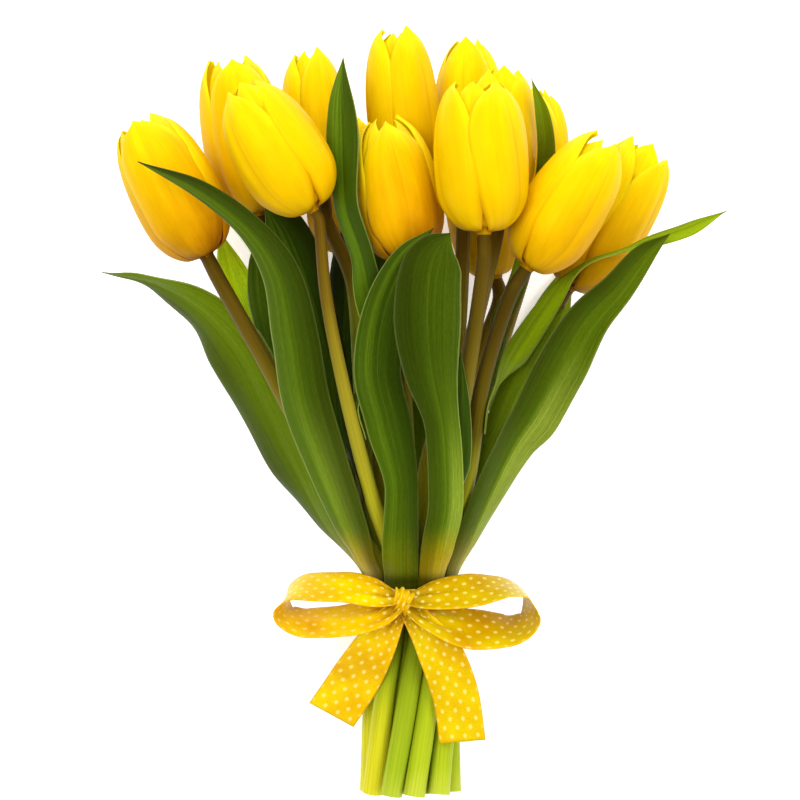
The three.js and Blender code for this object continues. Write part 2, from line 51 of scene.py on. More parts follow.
TEPAL_THICK = 0.8
LEAF_THICK = 0.9
RIBBON_THICK = 0.8  # as a solid
SATIN_THICK = 0.45  # as it is finished here
NARROWEST = 0.12  # half the width of a leaf's tip
CLEARANCE = 0.4  # between a stem and its bloom, and between a leaf and the stems that it wraps
CUT_Y = -163.5
TIE_Y = -80
TIE_Z = 26.5
CUT_Z = 22.12
STEM_R_TIE = 4.0
STEM_R_CUT = 4.7
STEM_R_BLOOM = 2.9
PACKED_R = STEM_R_TIE + CLEARANCE / 2
INNER_RING = 1.701 * PACKED_R
OUTER_RING = 3.521 * PACKED_R
PAIR_ANGLE = 19.5  # half the angle between the two outer stems that share an inner one
CUT_SPREAD = 1.19  # the bundle is this much wider at its cut ends
CUT_TWIST = 48  # the stems spiral by this many degrees from the tie to the cut ends
LEAF_RING = OUTER_RING + STEM_R_TIE + CLEARANCE + LEAF_THICK / 2
BAND_GAP = 0.55  # between the tied leaves and the ribbon's band
BAND_R = LEAF_RING + LEAF_THICK / 2 + BAND_GAP
BAND_WIDE = 10
BELOW_FOOT = 8  # a stem runs straight for this far under its bloom, unless it has its own
TIED_POINTS = 4  # the points of a stem's line that lie in the bundle, from the cut up

# A tepal's outline, as shares of the bloom's length and radius: [height, radius], base to tip.
PROFILE = [
    [0.012, 0.16], [0.04, 0.5], [0.13, 0.8], [0.27, 0.97], [0.44, 1.0],
    [0.62, 0.97], [0.79, 0.87], [0.92, 0.69], [1.0, 0.48],
]
OUTER_ARC = 66  # half the arc in degrees that an outer tepal covers at its widest
INNER_ARC = 54
TWIST = 12  # degrees that a bloom's tepals turn from base to tip, unless it has its own
INNER_SINK = 2.4  # how far an inner tepal lies inside the outer ones
INNER_RAISE = 1.7  # and how far above them at its base
OVERLAP_LIFT = 1.5  # one edge of each outer tepal lies over its neighbour


def inner(k):
    """A place in the ring of five stems: its radius and its angle in degrees."""
    return INNER_RING, 90 + 72 * k


def outer(k, sign):
    """A place in the ring of ten stems, to one side of an inner one."""
    return OUTER_RING, 90 + 72 * k + sign * PAIR_ANGLE


# Each tulip: its place in the tied bundle, the foot of its bloom and the way that points, the bloom's
# length and radius, how far it has opened, its turn, its stem's bends, how orange its petals are and how
# brown its stem is under the bloom. Some have more of their own: how lime their cut end is, a thinner
# neck, how far the stem runs straight below the bloom, the petals' twist, from where up the stem is
# browned and how fresh a green it has until there, and whether the bloom is pressed on what it lies on.
TULIPS = [
    dict(slot=outer(1, -1), foot=(-84, 64, 83), to=(-29, 57, 4), long=62, r=17.2, open=0.1, turn=85,
         bends=[(-30, -40, 50), (-56, 12, 68)], warmth=0.95, brown=0.75, lime=0.7),
    dict(slot=outer(1, 1), foot=(-64, 82.5, 62), to=(-12, 66, 2), long=66, r=16.4, open=0.05, turn=70,
         bends=[(-25, -40, 38), (-35, 20, 50), (-50, 62, 59)], warmth=0.5, brown=0.9),
    dict(slot=outer(0, 1), foot=(-39.5, 82, 99), to=(-32, 54, 0), long=59, r=17.8, open=-0.14, turn=8,
         bends=[(-16, -37, 57), (-26.6, 5, 77), (-34.8, 47, 91)], neck=2.1, straight=3.5, warmth=0.1,
         brown=0.45, lime=0.75),
    dict(slot=inner(1), foot=(-37, 91, 46), to=(-6, 61, -1), long=62, r=13.6, open=-0.02, turn=45,
         bends=[(-18.5, -34, 38), (-21.5, 15, 41), (-24.5, 54, 43)], warmth=0.35, brown=0.7,
         browned=0.88, fresh=1.0),
    dict(slot=inner(2), foot=(0, 99, 59.6), to=(-6.5, 64, 0), long=61.5, r=14.5, open=-0.04, turn=40,
         bends=[(-3, -30, 37), (-5, 30, 50)], warmth=0.2, brown=0.5),
    dict(slot=inner(0), foot=(-0.9, 62, 84), to=(-10.6, 60, 2), long=59, r=17.3, open=-0.12, turn=75,
         bends=[(-1, -30, 53), (-3, 18, 69)], warmth=1.0, brown=0.7, browned=0.8, fresh=0.6),
    dict(slot=outer(2, 1), foot=(-31, 68, 14.4), to=(6, 61, 0), long=60, r=15, open=-0.14, turn=45,
         bends=[(-13, -30, 17), (-26, 25, 17)], warmth=0.5, brown=0.5, lies=True),
    dict(slot=inner(3), foot=(23, 96, 38.5), to=(2, 64, -1), long=62, r=14.4, open=-0.02, turn=90,
         bends=[(6, -30, 33), (20, 30, 38)], warmth=0.3, brown=0.6),
    dict(slot=outer(0, -1), foot=(29.5, 72.5, 103), to=(-1.5, 62, 0), long=61, r=18.2, open=0.08, turn=24,
         bends=[(15, -30, 60), (24, 20, 82)], twist=34, warmth=0.05, brown=0.8),
    dict(slot=inner(4), foot=(36.4, 86, 68), to=(2, 57, 1), long=57, r=14.2, open=0, turn=15,
         bends=[(14, -30, 45), (25.5, 30, 58)], warmth=0.2, brown=0.55),
    dict(slot=outer(3, 1), foot=(51, 77, 35), to=(3, 61, 0), long=60, r=14, open=0, turn=95,
         bends=[(21, -30, 27), (37.5, 25, 32)], warmth=0.25, brown=0.5),
    dict(slot=outer(4, 1), foot=(47, 59, 90), to=(35, 54, 0), long=62, r=16.8, open=-0.1, turn=52,
         bends=[(23.5, -30, 53), (30, 13, 72)], warmth=0.45, brown=1.0, browned=0.72, fresh=0.7),
    dict(slot=outer(4, -1), foot=(66, 52, 52), to=(35, 58, 0), long=69, r=16.3, open=0.12, turn=25,
         bends=[(26, -35, 35), (44, 12, 44)], warmth=0.6, brown=0.6, browned=0.8, fresh=0.5),
    dict(slot=outer(3, -1), foot=(37, 58, 13.8), to=(-13, 60, 0), long=58, r=14.4, open=-0.14, turn=45,
         bends=[(13, -30, 16), (28, 20, 16)], warmth=0.4, brown=0.5, lies=True),
    dict(slot=outer(2, -1), foot=(-62, 76, 13.8), to=(-2, 57, 0), long=56, r=14.4, open=-0.14, turn=45,
         bends=[(-22, -35, 20), (-44, 25, 17)], warmth=0.4, brown=0.5, lies=True),
]


# Lines and surfaces


def smooth_line(rows, t):
    """A smooth line through rows of numbers, at t from 0 to 1, that never swings beyond them."""
    rows = np.array(rows, float)
    last = len(rows) - 1
    at = np.clip(np.asarray(t, float), 0, 1) * last
    i = np.minimum(at.astype(int), last - 1)
    f = (at - i)[..., None]
    rise = rows[1:] - rows[:-1]
    before, after = np.vstack([rise[:1], rise]), np.vstack([rise, rise[-1:]])
    steep = 2 * np.minimum(abs(before), abs(after))
    slope = np.where(before * after > 0, np.sign(after) * np.minimum(abs(before + after) / 2, steep), 0)
    start, end, up = slope[i], slope[i + 1], rise[i]
    return rows[i] + f * (start + f * (3 * up - 2 * start - end + f * (start + end - 2 * up)))


def unit(v):
    return v / np.linalg.norm(v, axis=-1, keepdims=True)


def across_line(along):
    """The two directions across a line: level, and as near to facing up as can be."""
    level = unit(np.cross(along, (0.0, 0.0, 1.0)))
    return level, np.cross(level, along)


def around(centre, along, distance, angle):
    """A point at a distance and angle in degrees round a line, 90 being the side that faces up."""
    level, facing = across_line(along)
    angle = np.radians(angle)
    distance = np.asarray(distance, float)
    sideways, upwards = distance * np.cos(angle), distance * np.sin(angle)
    return centre + sideways[..., None] * level + upwards[..., None] * facing


def strip(stations):
    """A surface through stations [x, y, z, half width, roll, curl], at u from -1 to 1 and t from 0 to 1."""

    def surface(u, t):
        row = smooth_line(stations, t)
        ahead = smooth_line(stations, np.minimum(t + 0.01, 1))
        behind = smooth_line(stations, np.maximum(t - 0.01, 0))
        along = unit(ahead[:, :3] - behind[:, :3])
        level, facing = across_line(along)
        roll = np.radians(row[:, 4])
        cosine, sine = np.cos(roll)[:, None], np.sin(roll)[:, None]
        side, normal = level * cosine + facing * sine, facing * cosine - level * sine
        half, curl = np.maximum(row[:, 3], NARROWEST), row[:, 5]
        arc = u * half * curl
        flat = abs(arc) < 1e-4
        bend = np.where(flat, 1, curl)
        out = np.where(flat, u * half, np.sin(arc) / bend)
        down = np.where(flat, 0, (1 - np.cos(arc)) / bend)
        return row[:, :3] + side * out[:, None] - normal * down[:, None]

    return surface


def normals(surface, u, t):
    """The directions that a surface faces."""
    step = 0.01
    inside = np.clip(t, step, 1 - step)
    along = surface(u, inside + step) - surface(u, inside - step)
    across = surface(u + step, inside) - surface(u - step, inside)
    return unit(np.cross(across, along))


def hill(x, middle, wide):
    """A smooth rise of 1 at middle."""
    return np.exp(-(((x - middle) / wide) ** 2))


def ramp(x, start, end):
    """Goes smoothly from 0 at start to 1 at end."""
    x = np.clip((x - start) / (end - start), 0, 1)
    return x * x * (3 - 2 * x)


def bundle_at(y):
    """The height of the tied bundle's middle, its spread and its turn at y."""
    down = max((TIE_Y - y) / (TIE_Y - CUT_Y), 0)
    return TIE_Z + (CUT_Z - TIE_Z) * down, 1 + (CUT_SPREAD - 1) * down, CUT_TWIST * down


def in_bundle(slot, y):
    """Where the stem in a place of the bundle is at y."""
    z, spread, twist = bundle_at(y)
    turned = math.radians(slot[1] + twist)
    return slot[0] * spread * math.cos(turned), y, z + slot[0] * spread * math.sin(turned)


def bloom_axis(tulip):
    """The foot of a bloom, and the way it points."""
    return np.array(tulip["foot"], float), unit(np.array(tulip["to"], float))


def stem_line(tulip):
    """The points that a stem goes through, from the cut to the bloom."""
    foot, up = bloom_axis(tulip)
    lower = [in_bundle(tulip["slot"], y) for y in (CUT_Y, (CUT_Y + TIE_Y) / 2, TIE_Y - 8, TIE_Y + 8)]
    return [*lower, *tulip["bends"], tuple(foot - up * tulip.get("straight", BELOW_FOOT)), tuple(foot)]


def stem_at(tulip, t):
    """A stem's middle, direction and radius at t from 0 at the cut to 1 at the bloom."""
    line = stem_line(tulip)
    t = np.asarray(t, float)
    at_tie = (TIED_POINTS - 1) / (len(line) - 1)
    below = STEM_R_CUT + (STEM_R_TIE - STEM_R_CUT) * t / at_tie
    neck = tulip.get("neck", STEM_R_BLOOM)
    above = STEM_R_TIE + (neck - STEM_R_TIE) * np.clip((t - at_tie) / (1 - at_tie), 0, 1) ** 0.6
    along = unit(smooth_line(line, t + 0.004) - smooth_line(line, t - 0.004))
    return smooth_line(line, t), along, np.where(t < at_tie, below, above)


def tied(angle, half):
    """The first stations of a leaf that is held under the ribbon, round the bundle at an angle."""
    x, up = LEAF_RING * math.cos(math.radians(angle)), LEAF_RING * math.sin(math.radians(angle))
    return [(x, y, bundle_at(y)[0] + up, half, angle - 90, 1 / LEAF_RING) for y in (TIE_Y - 5, TIE_Y + 7)]


def clasping(number, low_y, high_y, angle, half):
    """The first stations of a leaf that starts wrapped round a tulip's stem, from one y to another."""
    tulip = TULIPS[number - 1]
    stations = []
    for y in (low_y, high_y):
        low, high = 0.0, 1.0
        while high - low > 1e-4:
            middle = (low + high) / 2
            if stem_at(tulip, middle)[0][1] < y:
                low = middle
            else:
                high = middle
        centre, along, radius = stem_at(tulip, low)
        distance = float(radius) + CLEARANCE + LEAF_THICK / 2
        stations.append((*around(centre, along, distance, angle), half, angle - 90, 1 / distance))
    return stations


# Leaves by name: their stations as strip() reads them, then how light and yellow they are from 0 to 1,
# partly their own tone and partly painted light and shade, the number of waves along their edges, and the
# waves' height.
LEAVES = {
    "left": ([*tied(182, 6), (-38, -47, 35, 9, 60, 0.045), (-50, -24, 41, 12, 35, 0.04),
        (-62, 1, 49, 14, 25, 0.035), (-74, 25, 56, 14, 25, 0.035), (-90, 43, 60, 10.5, 40, 0.05),
        (-109, 54, 61, 5.5, 60, 0.08), (-130, 59, 60, 0, 70, 0.08)], 0.3, 4.5, 1.1),
    "left_front": ([*tied(144, 6), (-20.5, -62, 47.5, 6.5, 48, 0.05), (-26, -48, 56, 8, 30, 0.05),
        (-36, -20, 68, 9.5, 18, 0.045), (-44, 5, 79, 10.5, 12, 0.04), (-48, 31, 90, 10, 10, 0.045),
        (-53, 56, 103, 8, 14, 0.06), (-65, 74, 113, 5.8, 20, 0.08), (-86, 90, 117, 4.2, 30, 0.1),
        (-110, 101, 117, 0, 40, 0.1)], 0.12, 3.2, 0.35),
    "left_behind": ([*tied(218, 4.5), (-32, -48, 16, 7, 80, 0.05), (-47, -18, 21, 9, 40, 0.04),
        (-60, 12, 26, 10, 20, 0.03), (-70, 40, 30, 10, 15, 0.03), (-77, 60, 32, 7, 15, 0.04),
        (-82, 78, 33, 0, 15, 0.05)], 1.0, 3, 0.4),
    "left_inner": ([*clasping(2, -44, -30, 200, 4.5), (-42, -6, 34, 7, 40, 0.05),
        (-54, 20, 40, 8, 20, 0.04), (-61, 45, 43, 8, 10, 0.04), (-64, 62, 42, 5.5, 5, 0.05),
        (-66, 75, 40, 0, 5, 0.05)], 0.05, 2, 0.3),
    # left_dark, centre_dark and centre_back are painted nearly black: painted shade in the gaps
    "left_dark": ([*clasping(3, -36, -26, 208, 3), (-30, -8, 59, 6.2, 20, 0.05),
        (-33.5, 18, 61.5, 7.5, 15, 0.04), (-39.5, 42, 66, 8.5, 5, 0.04), (-46, 62, 70.5, 9.5, 0, 0.04),
        (-52.5, 76.5, 73.5, 8.5, 0, 0.04), (-61, 87, 77.5, 0, 0, 0.05)], 0.0, 2, 0.25),
    "centre_dark": ([*clasping(4, -22, -12, 270, 3.4), (-25, 8, 33.5, 7, 180, -0.05),
        (-27, 30, 34, 9, 180, -0.04), (-26, 50, 35, 9.5, 180, -0.04), (-26.5, 67, 36.5, 7, 180, -0.04),
        (-28, 82, 36, 0, 180, -0.05)], 0.0, 2, 0.25),
    "centre_back": ([*clasping(5, -22, -12, 262, 3.4), (-9, 8, 34, 7, 180, -0.05),
        (-11.5, 30, 38, 9, 180, -0.04), (-12, 50, 41, 9, 180, -0.04), (-12, 67, 43, 6.5, 180, -0.04),
        (-12, 83, 43.5, 0, 180, -0.05)], 0.0, 2, 0.25),
    "upright": ([*clasping(3, -12, 0, -45, 4), (-17, 13, 71, 5, -85, 0.1), (-16, 34, 77, 6, -62, 0.06),
        (-20, 62, 91, 6.2, 40, 0.05), (-27.6, 87, 94, 7.8, 48, 0.04), (-28.6, 108, 92, 8.6, 40, 0.04),
        (-29, 127, 89.5, 6.2, 34, 0.05), (-28, 146, 88, 0, 30, 0.05)], 0.05, 2.4, 0.3),
    "middle": ([*tied(103, 7.5), (-4.6, -59, 54.5, 7.8, 2, 0.05), (-4, -33, 66, 7, -2, 0.04),
        (-9.2, -5, 73.5, 9.6, -2, 0.035), (-14, 18, 83, 9.8, -5, 0.035), (-11, 42, 92, 8.8, 0, 0.04),
        (-2.5, 62, 101, 6, 10, 0.06), (9, 75, 106, 0, 20, 0.08)], 0.05, 2.5, 0.3),
    "front": ([*tied(62, 6), (11.5, -56, 59, 7, -8, 0.04), (14.5, -36, 72, 7.3, -4, 0.03),
        (13, -7, 85, 7.3, 0, 0.03), (8, 18, 96, 11.5, 0, 0.028), (6.5, 39, 105, 13.9, 0, 0.03),
        (7.5, 56, 111, 13.2, 2, 0.04), (10.5, 65.5, 113.5, 9, 4, 0.06), (15.5, 72.5, 115, 0, 10, 0.08)],
        0.12, 3, 0.4),
    "behind_front": ([*clasping(9, -50, -38, 95, 5.5), (17.5, -20, 71, 7.5, 0, 0.05),
        (18.5, 2, 80.5, 6, 0, 0.06), (20.5, 25, 89, 0, 0, 0.06)], 0.0, 2, 0.2),
    "right": ([*tied(22, 6), (25, -54, 44, 7.5, -50, 0.05), (33.5, -34, 52, 8.5, -38, 0.03),
        (43, -14, 59, 9.5, -28, -0.02), (51.5, 0, 64, 12, -20, -0.05), (61, 18, 69, 12, -15, -0.05),
        (72.5, 38, 73, 10, -12, -0.05), (85, 51.5, 77, 7.5, -10, -0.05), (96, 65, 79, 5, -10, -0.05),
        (107, 74, 80, 0, -10, -0.05)], 0.22, 3, 0.4),
    "right_arching": ([*clasping(12, -8, 3, -25, 3.6), (37.5, 13, 65.5, 5, -78, 0.1),
        (44.5, 25, 66.5, 5.6, -20, 0.05), (51.5, 36, 67, 5.2, -10, 0.05), (59, 47, 68.5, 4.2, -5, 0.06),
        (66, 56.5, 71, 2.6, 45, 0.07), (74.5, 63, 73, 1.7, 62, 0.08), (87, 67, 74, 1.6, 58, 0.08),
        (101, 71.5, 74.5, 3, 30, 0.08), (115, 76, 75, 3, 10, 0.08), (131, 83.8, 75, 0, 10, 0.08)], 0.85,
        2.5, 0.2),
    "right_inner": ([*clasping(13, -48, -34, 100, 5), (38, -8, 48.5, 7.5, -10, 0.05),
        (47, 12, 53, 8.5, -10, 0.04), (55, 27, 58, 7.5, -10, 0.04), (64.5, 45, 61, 0, -10, 0.05)], 0.7, 2,
        0.3),
    "right_back": ([*tied(-28, 5.5), (26, -50, 11, 8, -95, 0.05), (38, -18, 8, 10, -40, 0.03),
        (51, 15, 5, 10.5, -10, 0.015), (62, 44, 2.6, 8, 0, 0.01), (71, 68, 1.6, 0, 0, 0.01)], 0.5, 2, 0.0),
    "top_right": ([*clasping(11, 2, 16, 80, 4.2), (37.5, 37, 44, 4.2, 15, 0.06), (45, 55, 54, 4, 0, 0.05),
        (50.5, 75, 58.5, 3.8, 0, 0.05), (55, 92, 62, 4, 0, 0.05), (56.3, 107, 72, 3.8, 0, 0.05),
        (54.3, 123, 81, 3, 0, 0.06), (49.5, 138, 84, 0, 0, 0.08)], 0.5, 3, 0.25),
    "back_left": ([*tied(253, 5.5), (-14, -52, 6, 8.5, 155, 0.02), (-25, -22, 4.5, 10.5, 172, 0.015),
        (-38, 8, 3.6, 11, 180, 0.01), (-51, 35, 3, 9, 180, 0.01), (-64, 60, 2.4, 0, 180, 0.01)], 0.2, 2,
        0.0),
    "back_middle": ([*tied(290, 6), (5.5, -52, 4, 8.5, 184, 0.02), (6, -22, 3, 11, 180, 0.01),
        (9, 8, 2.4, 11, 180, 0.01), (11, 30, 2, 9, 180, 0.01), (14, 53, 1.6, 0, 180, 0.01)], 0.2, 2, 0.0),
}

# How orange a leaf's foot is, which half of it is painted in shade, and how much darker that painted shade
# makes it.
LEAF_SHADES = {
    "left": (0.5, -1, 0.6), "left_front": (0.85, 1, 0.7), "left_behind": (0.4, -1, 0.1),
    "left_inner": (0.2, 1, 0.6), "left_dark": (0.0, 1, 0.85), "centre_dark": (0.0, 1, 0.9),
    "centre_back": (0.0, 1, 0.9), "upright": (0.0, 1, 0.55), "middle": (0.2, 1, 0.34),
    "front": (0.85, -1, 0.55), "behind_front": (0.0, -1, 0.6), "right": (0.6, -1, 0.5),
    "right_arching": (0.0, -1, 0.3), "right_inner": (0.3, -1, 0.3), "top_right": (0.0, 1, 0.3),
}

# Pale bands along the right half of some leaves, partly the paler underside where an edge turns over and
# partly painted light: how strong, from where to where along the leaf, and from how far across it. Then
# painted light and shade: how much lighter or darker some leaves are painted, in their lower and their
# upper half.
LEAF_BANDS = {
    "right": (0.85, 0.16, 0.48, 0.0), "front": (0.5, 0.08, 0.3, 0.1),
    "left_front": (0.25, 0.15, 0.35, -0.6),
}
LEAF_PAINTED_LIGHT_AND_SHADE = {
    "left_behind": (2.1, 2.1), "left_inner": (1.3, 1.3), "left_front": (1.2, 1.1), "left": (1.1, 1.2),
    "upright": (1.1, 1.7), "right": (0.95, 0.78), "front": (1.25, 0.75),
}

# The ribbon: half its width, half its width where it is gathered, the middle of its knot, and the
# stations of its ends as [x, y, z, half width, roll], with no curl.
RIBBON_HALF = 11
GATHERED = 3.6
KNOT = np.array((-3.4, TIE_Y, TIE_Z + BAND_R + 3.9))
RIBBON_ENDS = {
    "left_loop": [(-4, -79, 51, GATHERED, 117), (-15, -76, 54, 9, 127),
        (-29, -73.5, 54.5, RIBBON_HALF, 121), (-43, -73.5, 52.5, RIBBON_HALF, 116),
        (-52, -76.5, 50.5, RIBBON_HALF, 96), (-54, -84, 49.8, RIBBON_HALF, 70),
        (-44, -89, 51, RIBBON_HALF, 62), (-28, -88, 53, RIBBON_HALF, 58), (-14, -85, 53.5, 8.8, 52),
        (-4, -81, 51, GATHERED, 60)],
    "right_loop": [(-3, -79, 51, GATHERED, -120), (9, -77, 54.5, 8.8, -128),
        (25, -75, 55.5, RIBBON_HALF, -126), (39, -73.5, 53.5, RIBBON_HALF, -110),
        (49, -77.5, 51, RIBBON_HALF, -88), (50.5, -86, 50, RIBBON_HALF, -70),
        (41, -92, 51, RIBBON_HALF, -56), (26, -91.5, 53, RIBBON_HALF, -44), (9, -86.5, 53.5, 8.8, -50),
        (-3, -81, 51, GATHERED, -60)],
    "left_tail": [(-4, -80.5, 51, GATHERED, 190), (-9.5, -88.5, 52.5, 6.5, 190),
        (-16, -100, 50, 9.5, 195), (-24.5, -115, 42, RIBBON_HALF, 195),
        (-34, -129.5, 35, RIBBON_HALF, 190)],
    "right_tail": [(-3, -80.5, 51, GATHERED, 172), (4.5, -89.5, 53.5, 6.5, 172),
        (12.5, -102, 52, 9.5, 170), (19, -120, 48, 10, 170), (22, -140, 44, 10, 172)],
}

# How light each end of the ribbon is painted: painted shade, darker below 1.
RIBBON_PAINTED_SHADE = {"left_loop": 1.0, "right_loop": 0.76, "left_tail": 0.97, "right_tail": 0.86}

# The knot: how far it is turned in degrees, half its length, depth and width, and the way round it.
KNOT_SLANT = 24
KNOT_LONG = 5.2
KNOT_DEEP = 4.3
KNOT_WIDE = 4.6
KNOT_ROUND = 30

# Modelling


def choose(*pieces):
    """Selects these pieces and nothing else."""
    bpy.ops.object.select_all(action="DESELECT")
    for piece in pieces:
        piece.select_set(True)
    bpy.context.view_layer.objects.active = pieces[0]


def raw_points(piece):
    """A piece's points as its mesh holds them."""
    at = np.empty(len(piece.data.vertices) * 3)
    piece.data.vertices.foreach_get("co", at)
    return at.reshape(-1, 3)


def grid(name, across, along):
    """A flat grid to shape, with u from -1 to 1 across it and t from 0 to 1 along it."""
    bpy.ops.object.select_all(action="DESELECT")
    bpy.ops.mesh.primitive_grid_add(x_subdivisions=across, y_subdivisions=along, size=2)
    piece = bpy.context.object
    piece.name = piece.data.name = name
    at = raw_points(piece)
    return piece, at[:, 0], (at[:, 1] + 1) / 2


def place(piece, points):
    """Moves a piece's points to where they belong on the bunch."""
    metres = (points + BUNCH_SHIFT) * MM
    piece.data.vertices.foreach_set("co", metres.astype(np.float32).ravel())
    piece.data.update()


def points_of(piece):
    """A piece's points in millimetres, as the CAD source gives them."""
    return raw_points(piece) / MM - BUNCH_SHIFT


def mark(piece, **numbers):
    """Gives a piece's points the numbers that its material reads, each one for all or one for each."""
    for name, value in numbers.items():
        held = piece.data.attributes.new(name, "FLOAT", "POINT")
        held.data.foreach_set("value", np.full(len(piece.data.vertices), value, np.float32))


def thicken(piece, thick, full, thinnest):
    """Gives a sheet its thickness, with the share at each point from thinnest to 1 as full says."""
    group = piece.vertex_groups.new(name="full")
    for i, weight in enumerate(full):
        group.add([i], float(weight), "REPLACE")
    shell = piece.modifiers.new("thickness", "SOLIDIFY")
    shell.thickness = thick * MM
    shell.offset = 0
    shell.vertex_group = group.name
    shell.thickness_vertex_group = thinnest
    choose(piece)
    bpy.ops.object.modifier_apply(modifier=shell.name)
    piece.vertex_groups.clear()


def tube(name, sides, along, line):
    """A tube rolled from a grid. line(t) gives its middle, direction and radius at t."""
    piece, u, t = grid(name, sides, along)
    centre, way, radius = line(t)
    place(piece, around(centre, way, radius, 180 * u + 90))
    choose(piece)
    bpy.ops.object.mode_set(mode="EDIT")
    bpy.ops.mesh.select_all(action="SELECT")
    bpy.ops.mesh.remove_doubles(threshold=1e-6)
    bpy.ops.mesh.fill_holes(sides=0)
    bpy.ops.mesh.normals_make_consistent(inside=False)
    bpy.ops.object.mode_set(mode="OBJECT")
    return piece


def join(name, pieces):
    """Makes several pieces one."""
    choose(*pieces)
    bpy.ops.object.join()
    whole = bpy.context.object
    whole.name = whole.data.name = name
    return whole


def dress(piece, finishes, node):
    """Gives a finished piece the materials that it still lacks, and lets it stand for its CAD node."""
    for finish in finishes[len(piece.data.materials):]:
        piece.data.materials.append(finish)
    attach(piece, "root")
    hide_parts(node)


# Materials


class Finish:
    """A material and short ways to add its nodes."""

    def __init__(self, name):
        self.material = bpy.data.materials.new(name)
        self.material.use_nodes = True
        self.tree = self.material.node_tree
        self.tree.nodes.clear()

    def give(self, socket, value):
        """Sets an input of a node, or links another node's output to it."""
        if isinstance(value, bpy.types.NodeSocket):
            self.tree.links.new(value, socket)
        else:
            socket.default_value = (*value, 1) if socket.type == "RGBA" else value

    def node(self, kind, inputs=None, **settings):
        """Adds a node with these inputs and settings."""
        made = self.tree.nodes.new(kind)
        for key, value in settings.items():
            setattr(made, key, value)
        for key, value in (inputs or {}).items():
            self.give(made.inputs[key], value)
        return made

    def math(self, operation, *values):
        return self.node("ShaderNodeMath", dict(enumerate(values)), operation=operation).outputs[0]

    def plus(self, first, second):
        return self.math("ADD", first, second)

    def times(self, first, second):
        return self.math("MULTIPLY", first, second)

    def swayed(self, value, noise, amount):
        """Moves a value down and up by half of amount, as the noise goes from 0 to 1."""
        return self.plus(value, self.times(self.math("SUBTRACT", noise, 0.5), amount))

    def map(self, value, low, high, to_low=0.0, to_high=1.0):
        """Takes value from the range low to high, smoothly, to the range to_low to to_high."""
        inputs = {"Value": value, "From Min": low, "From Max": high, "To Min": to_low, "To Max": to_high}
        return self.node("ShaderNodeMapRange", inputs, interpolation_type="SMOOTHSTEP").outputs[0]

    def ramp(self, value, stops):
        """A colour by value, from stops of a position and a colour."""
        made = self.node("ShaderNodeValToRGB", {"Fac": value})
        marks = made.color_ramp.elements
        while len(marks) < len(stops):
            marks.new(0.5)
        for element, (position, colour) in zip(marks, stops):
            element.position = position
            element.color = (*colour, 1)
        return made.outputs["Color"]

    def mix(self, share, first, second, kind="MIX"):
        """Mixes two colours."""
        inputs = {0: share, 6: first, 7: second}
        return self.node("ShaderNodeMix", inputs, data_type="RGBA", blend_type=kind).outputs[2]

    def shaded(self, colour, shade):
        """A colour made darker or lighter by a factor."""
        grey = self.node("ShaderNodeCombineColor", {0: shade, 1: shade, 2: shade}).outputs[0]
        return self.mix(1.0, colour, grey, "MULTIPLY")

    def noise(self, vector, scale, detail=3.0, rough=0.5):
        inputs = {"Vector": vector, "Scale": scale, "Detail": detail, "Roughness": rough}
        return self.node("ShaderNodeTexNoise", inputs).outputs["Fac"]

    def stretched(self, vector, scale, place=(0, 0, 0), turn=(0, 0, 0)):
        inputs = {"Vector": vector, "Location": place, "Rotation": turn, "Scale": scale}
        return self.node("ShaderNodeMapping", inputs).outputs[0]

    def flecks(self, vector, across, along, detail=3.0, rough=0.6):
        """Noise that is this fine across the piece and along it."""
        return self.noise(self.stretched(vector, (across, along, 1)), 1.0, detail, rough)

    def place(self):
        """Where a point of the object is, in metres."""
        return self.node("ShaderNodeTexCoord").outputs["Object"]

    def own(self, name):
        """A number that the piece's points carry."""
        return self.node("ShaderNodeAttribute", attribute_name=name).outputs["Fac"]

    def own_map(self):
        """The piece's own map, and its two numbers: across the piece, and along it."""
        uv = self.node("ShaderNodeUVMap", uv_map="UVMap").outputs[0]
        parts = self.node("ShaderNodeSeparateXYZ", {0: uv})
        return uv, parts.outputs[0], parts.outputs[1]

    def moved(self, vector):
        """Moves a pattern by the piece's own tone, so that no two pieces have the same."""
        drift = self.node("ShaderNodeCombineXYZ", {2: self.times(self.own("tone"), 9.0)}).outputs[0]
        return self.node("ShaderNodeVectorMath", {0: vector, 1: drift}, operation="ADD").outputs[0]

    def bump(self, height, strength, distance):
        inputs = {"Height": height, "Strength": strength, "Distance": distance}
        return self.node("ShaderNodeBump", inputs).outputs[0]

    def surface(self, colour, bump, through=0.0, through_colour=None, **shine):
        """The shader. A share of the light passes through, in a colour of its own or the surface's."""
        inputs = {key.replace("_", " "): value for key, value in shine.items()}
        inputs.update({"Base Color": colour, "Normal": bump})
        shader = self.node("ShaderNodeBsdfPrincipled", inputs).outputs[0]
        if through:
            glow = self.node("ShaderNodeBsdfTranslucent", {"Color": through_colour or colour, "Normal": bump})
            shader = self.node("ShaderNodeMixShader", {0: through, 1: shader, 2: glow.outputs[0]}).outputs[0]
        self.node("ShaderNodeOutputMaterial", {"Surface": shader})
        return self.material


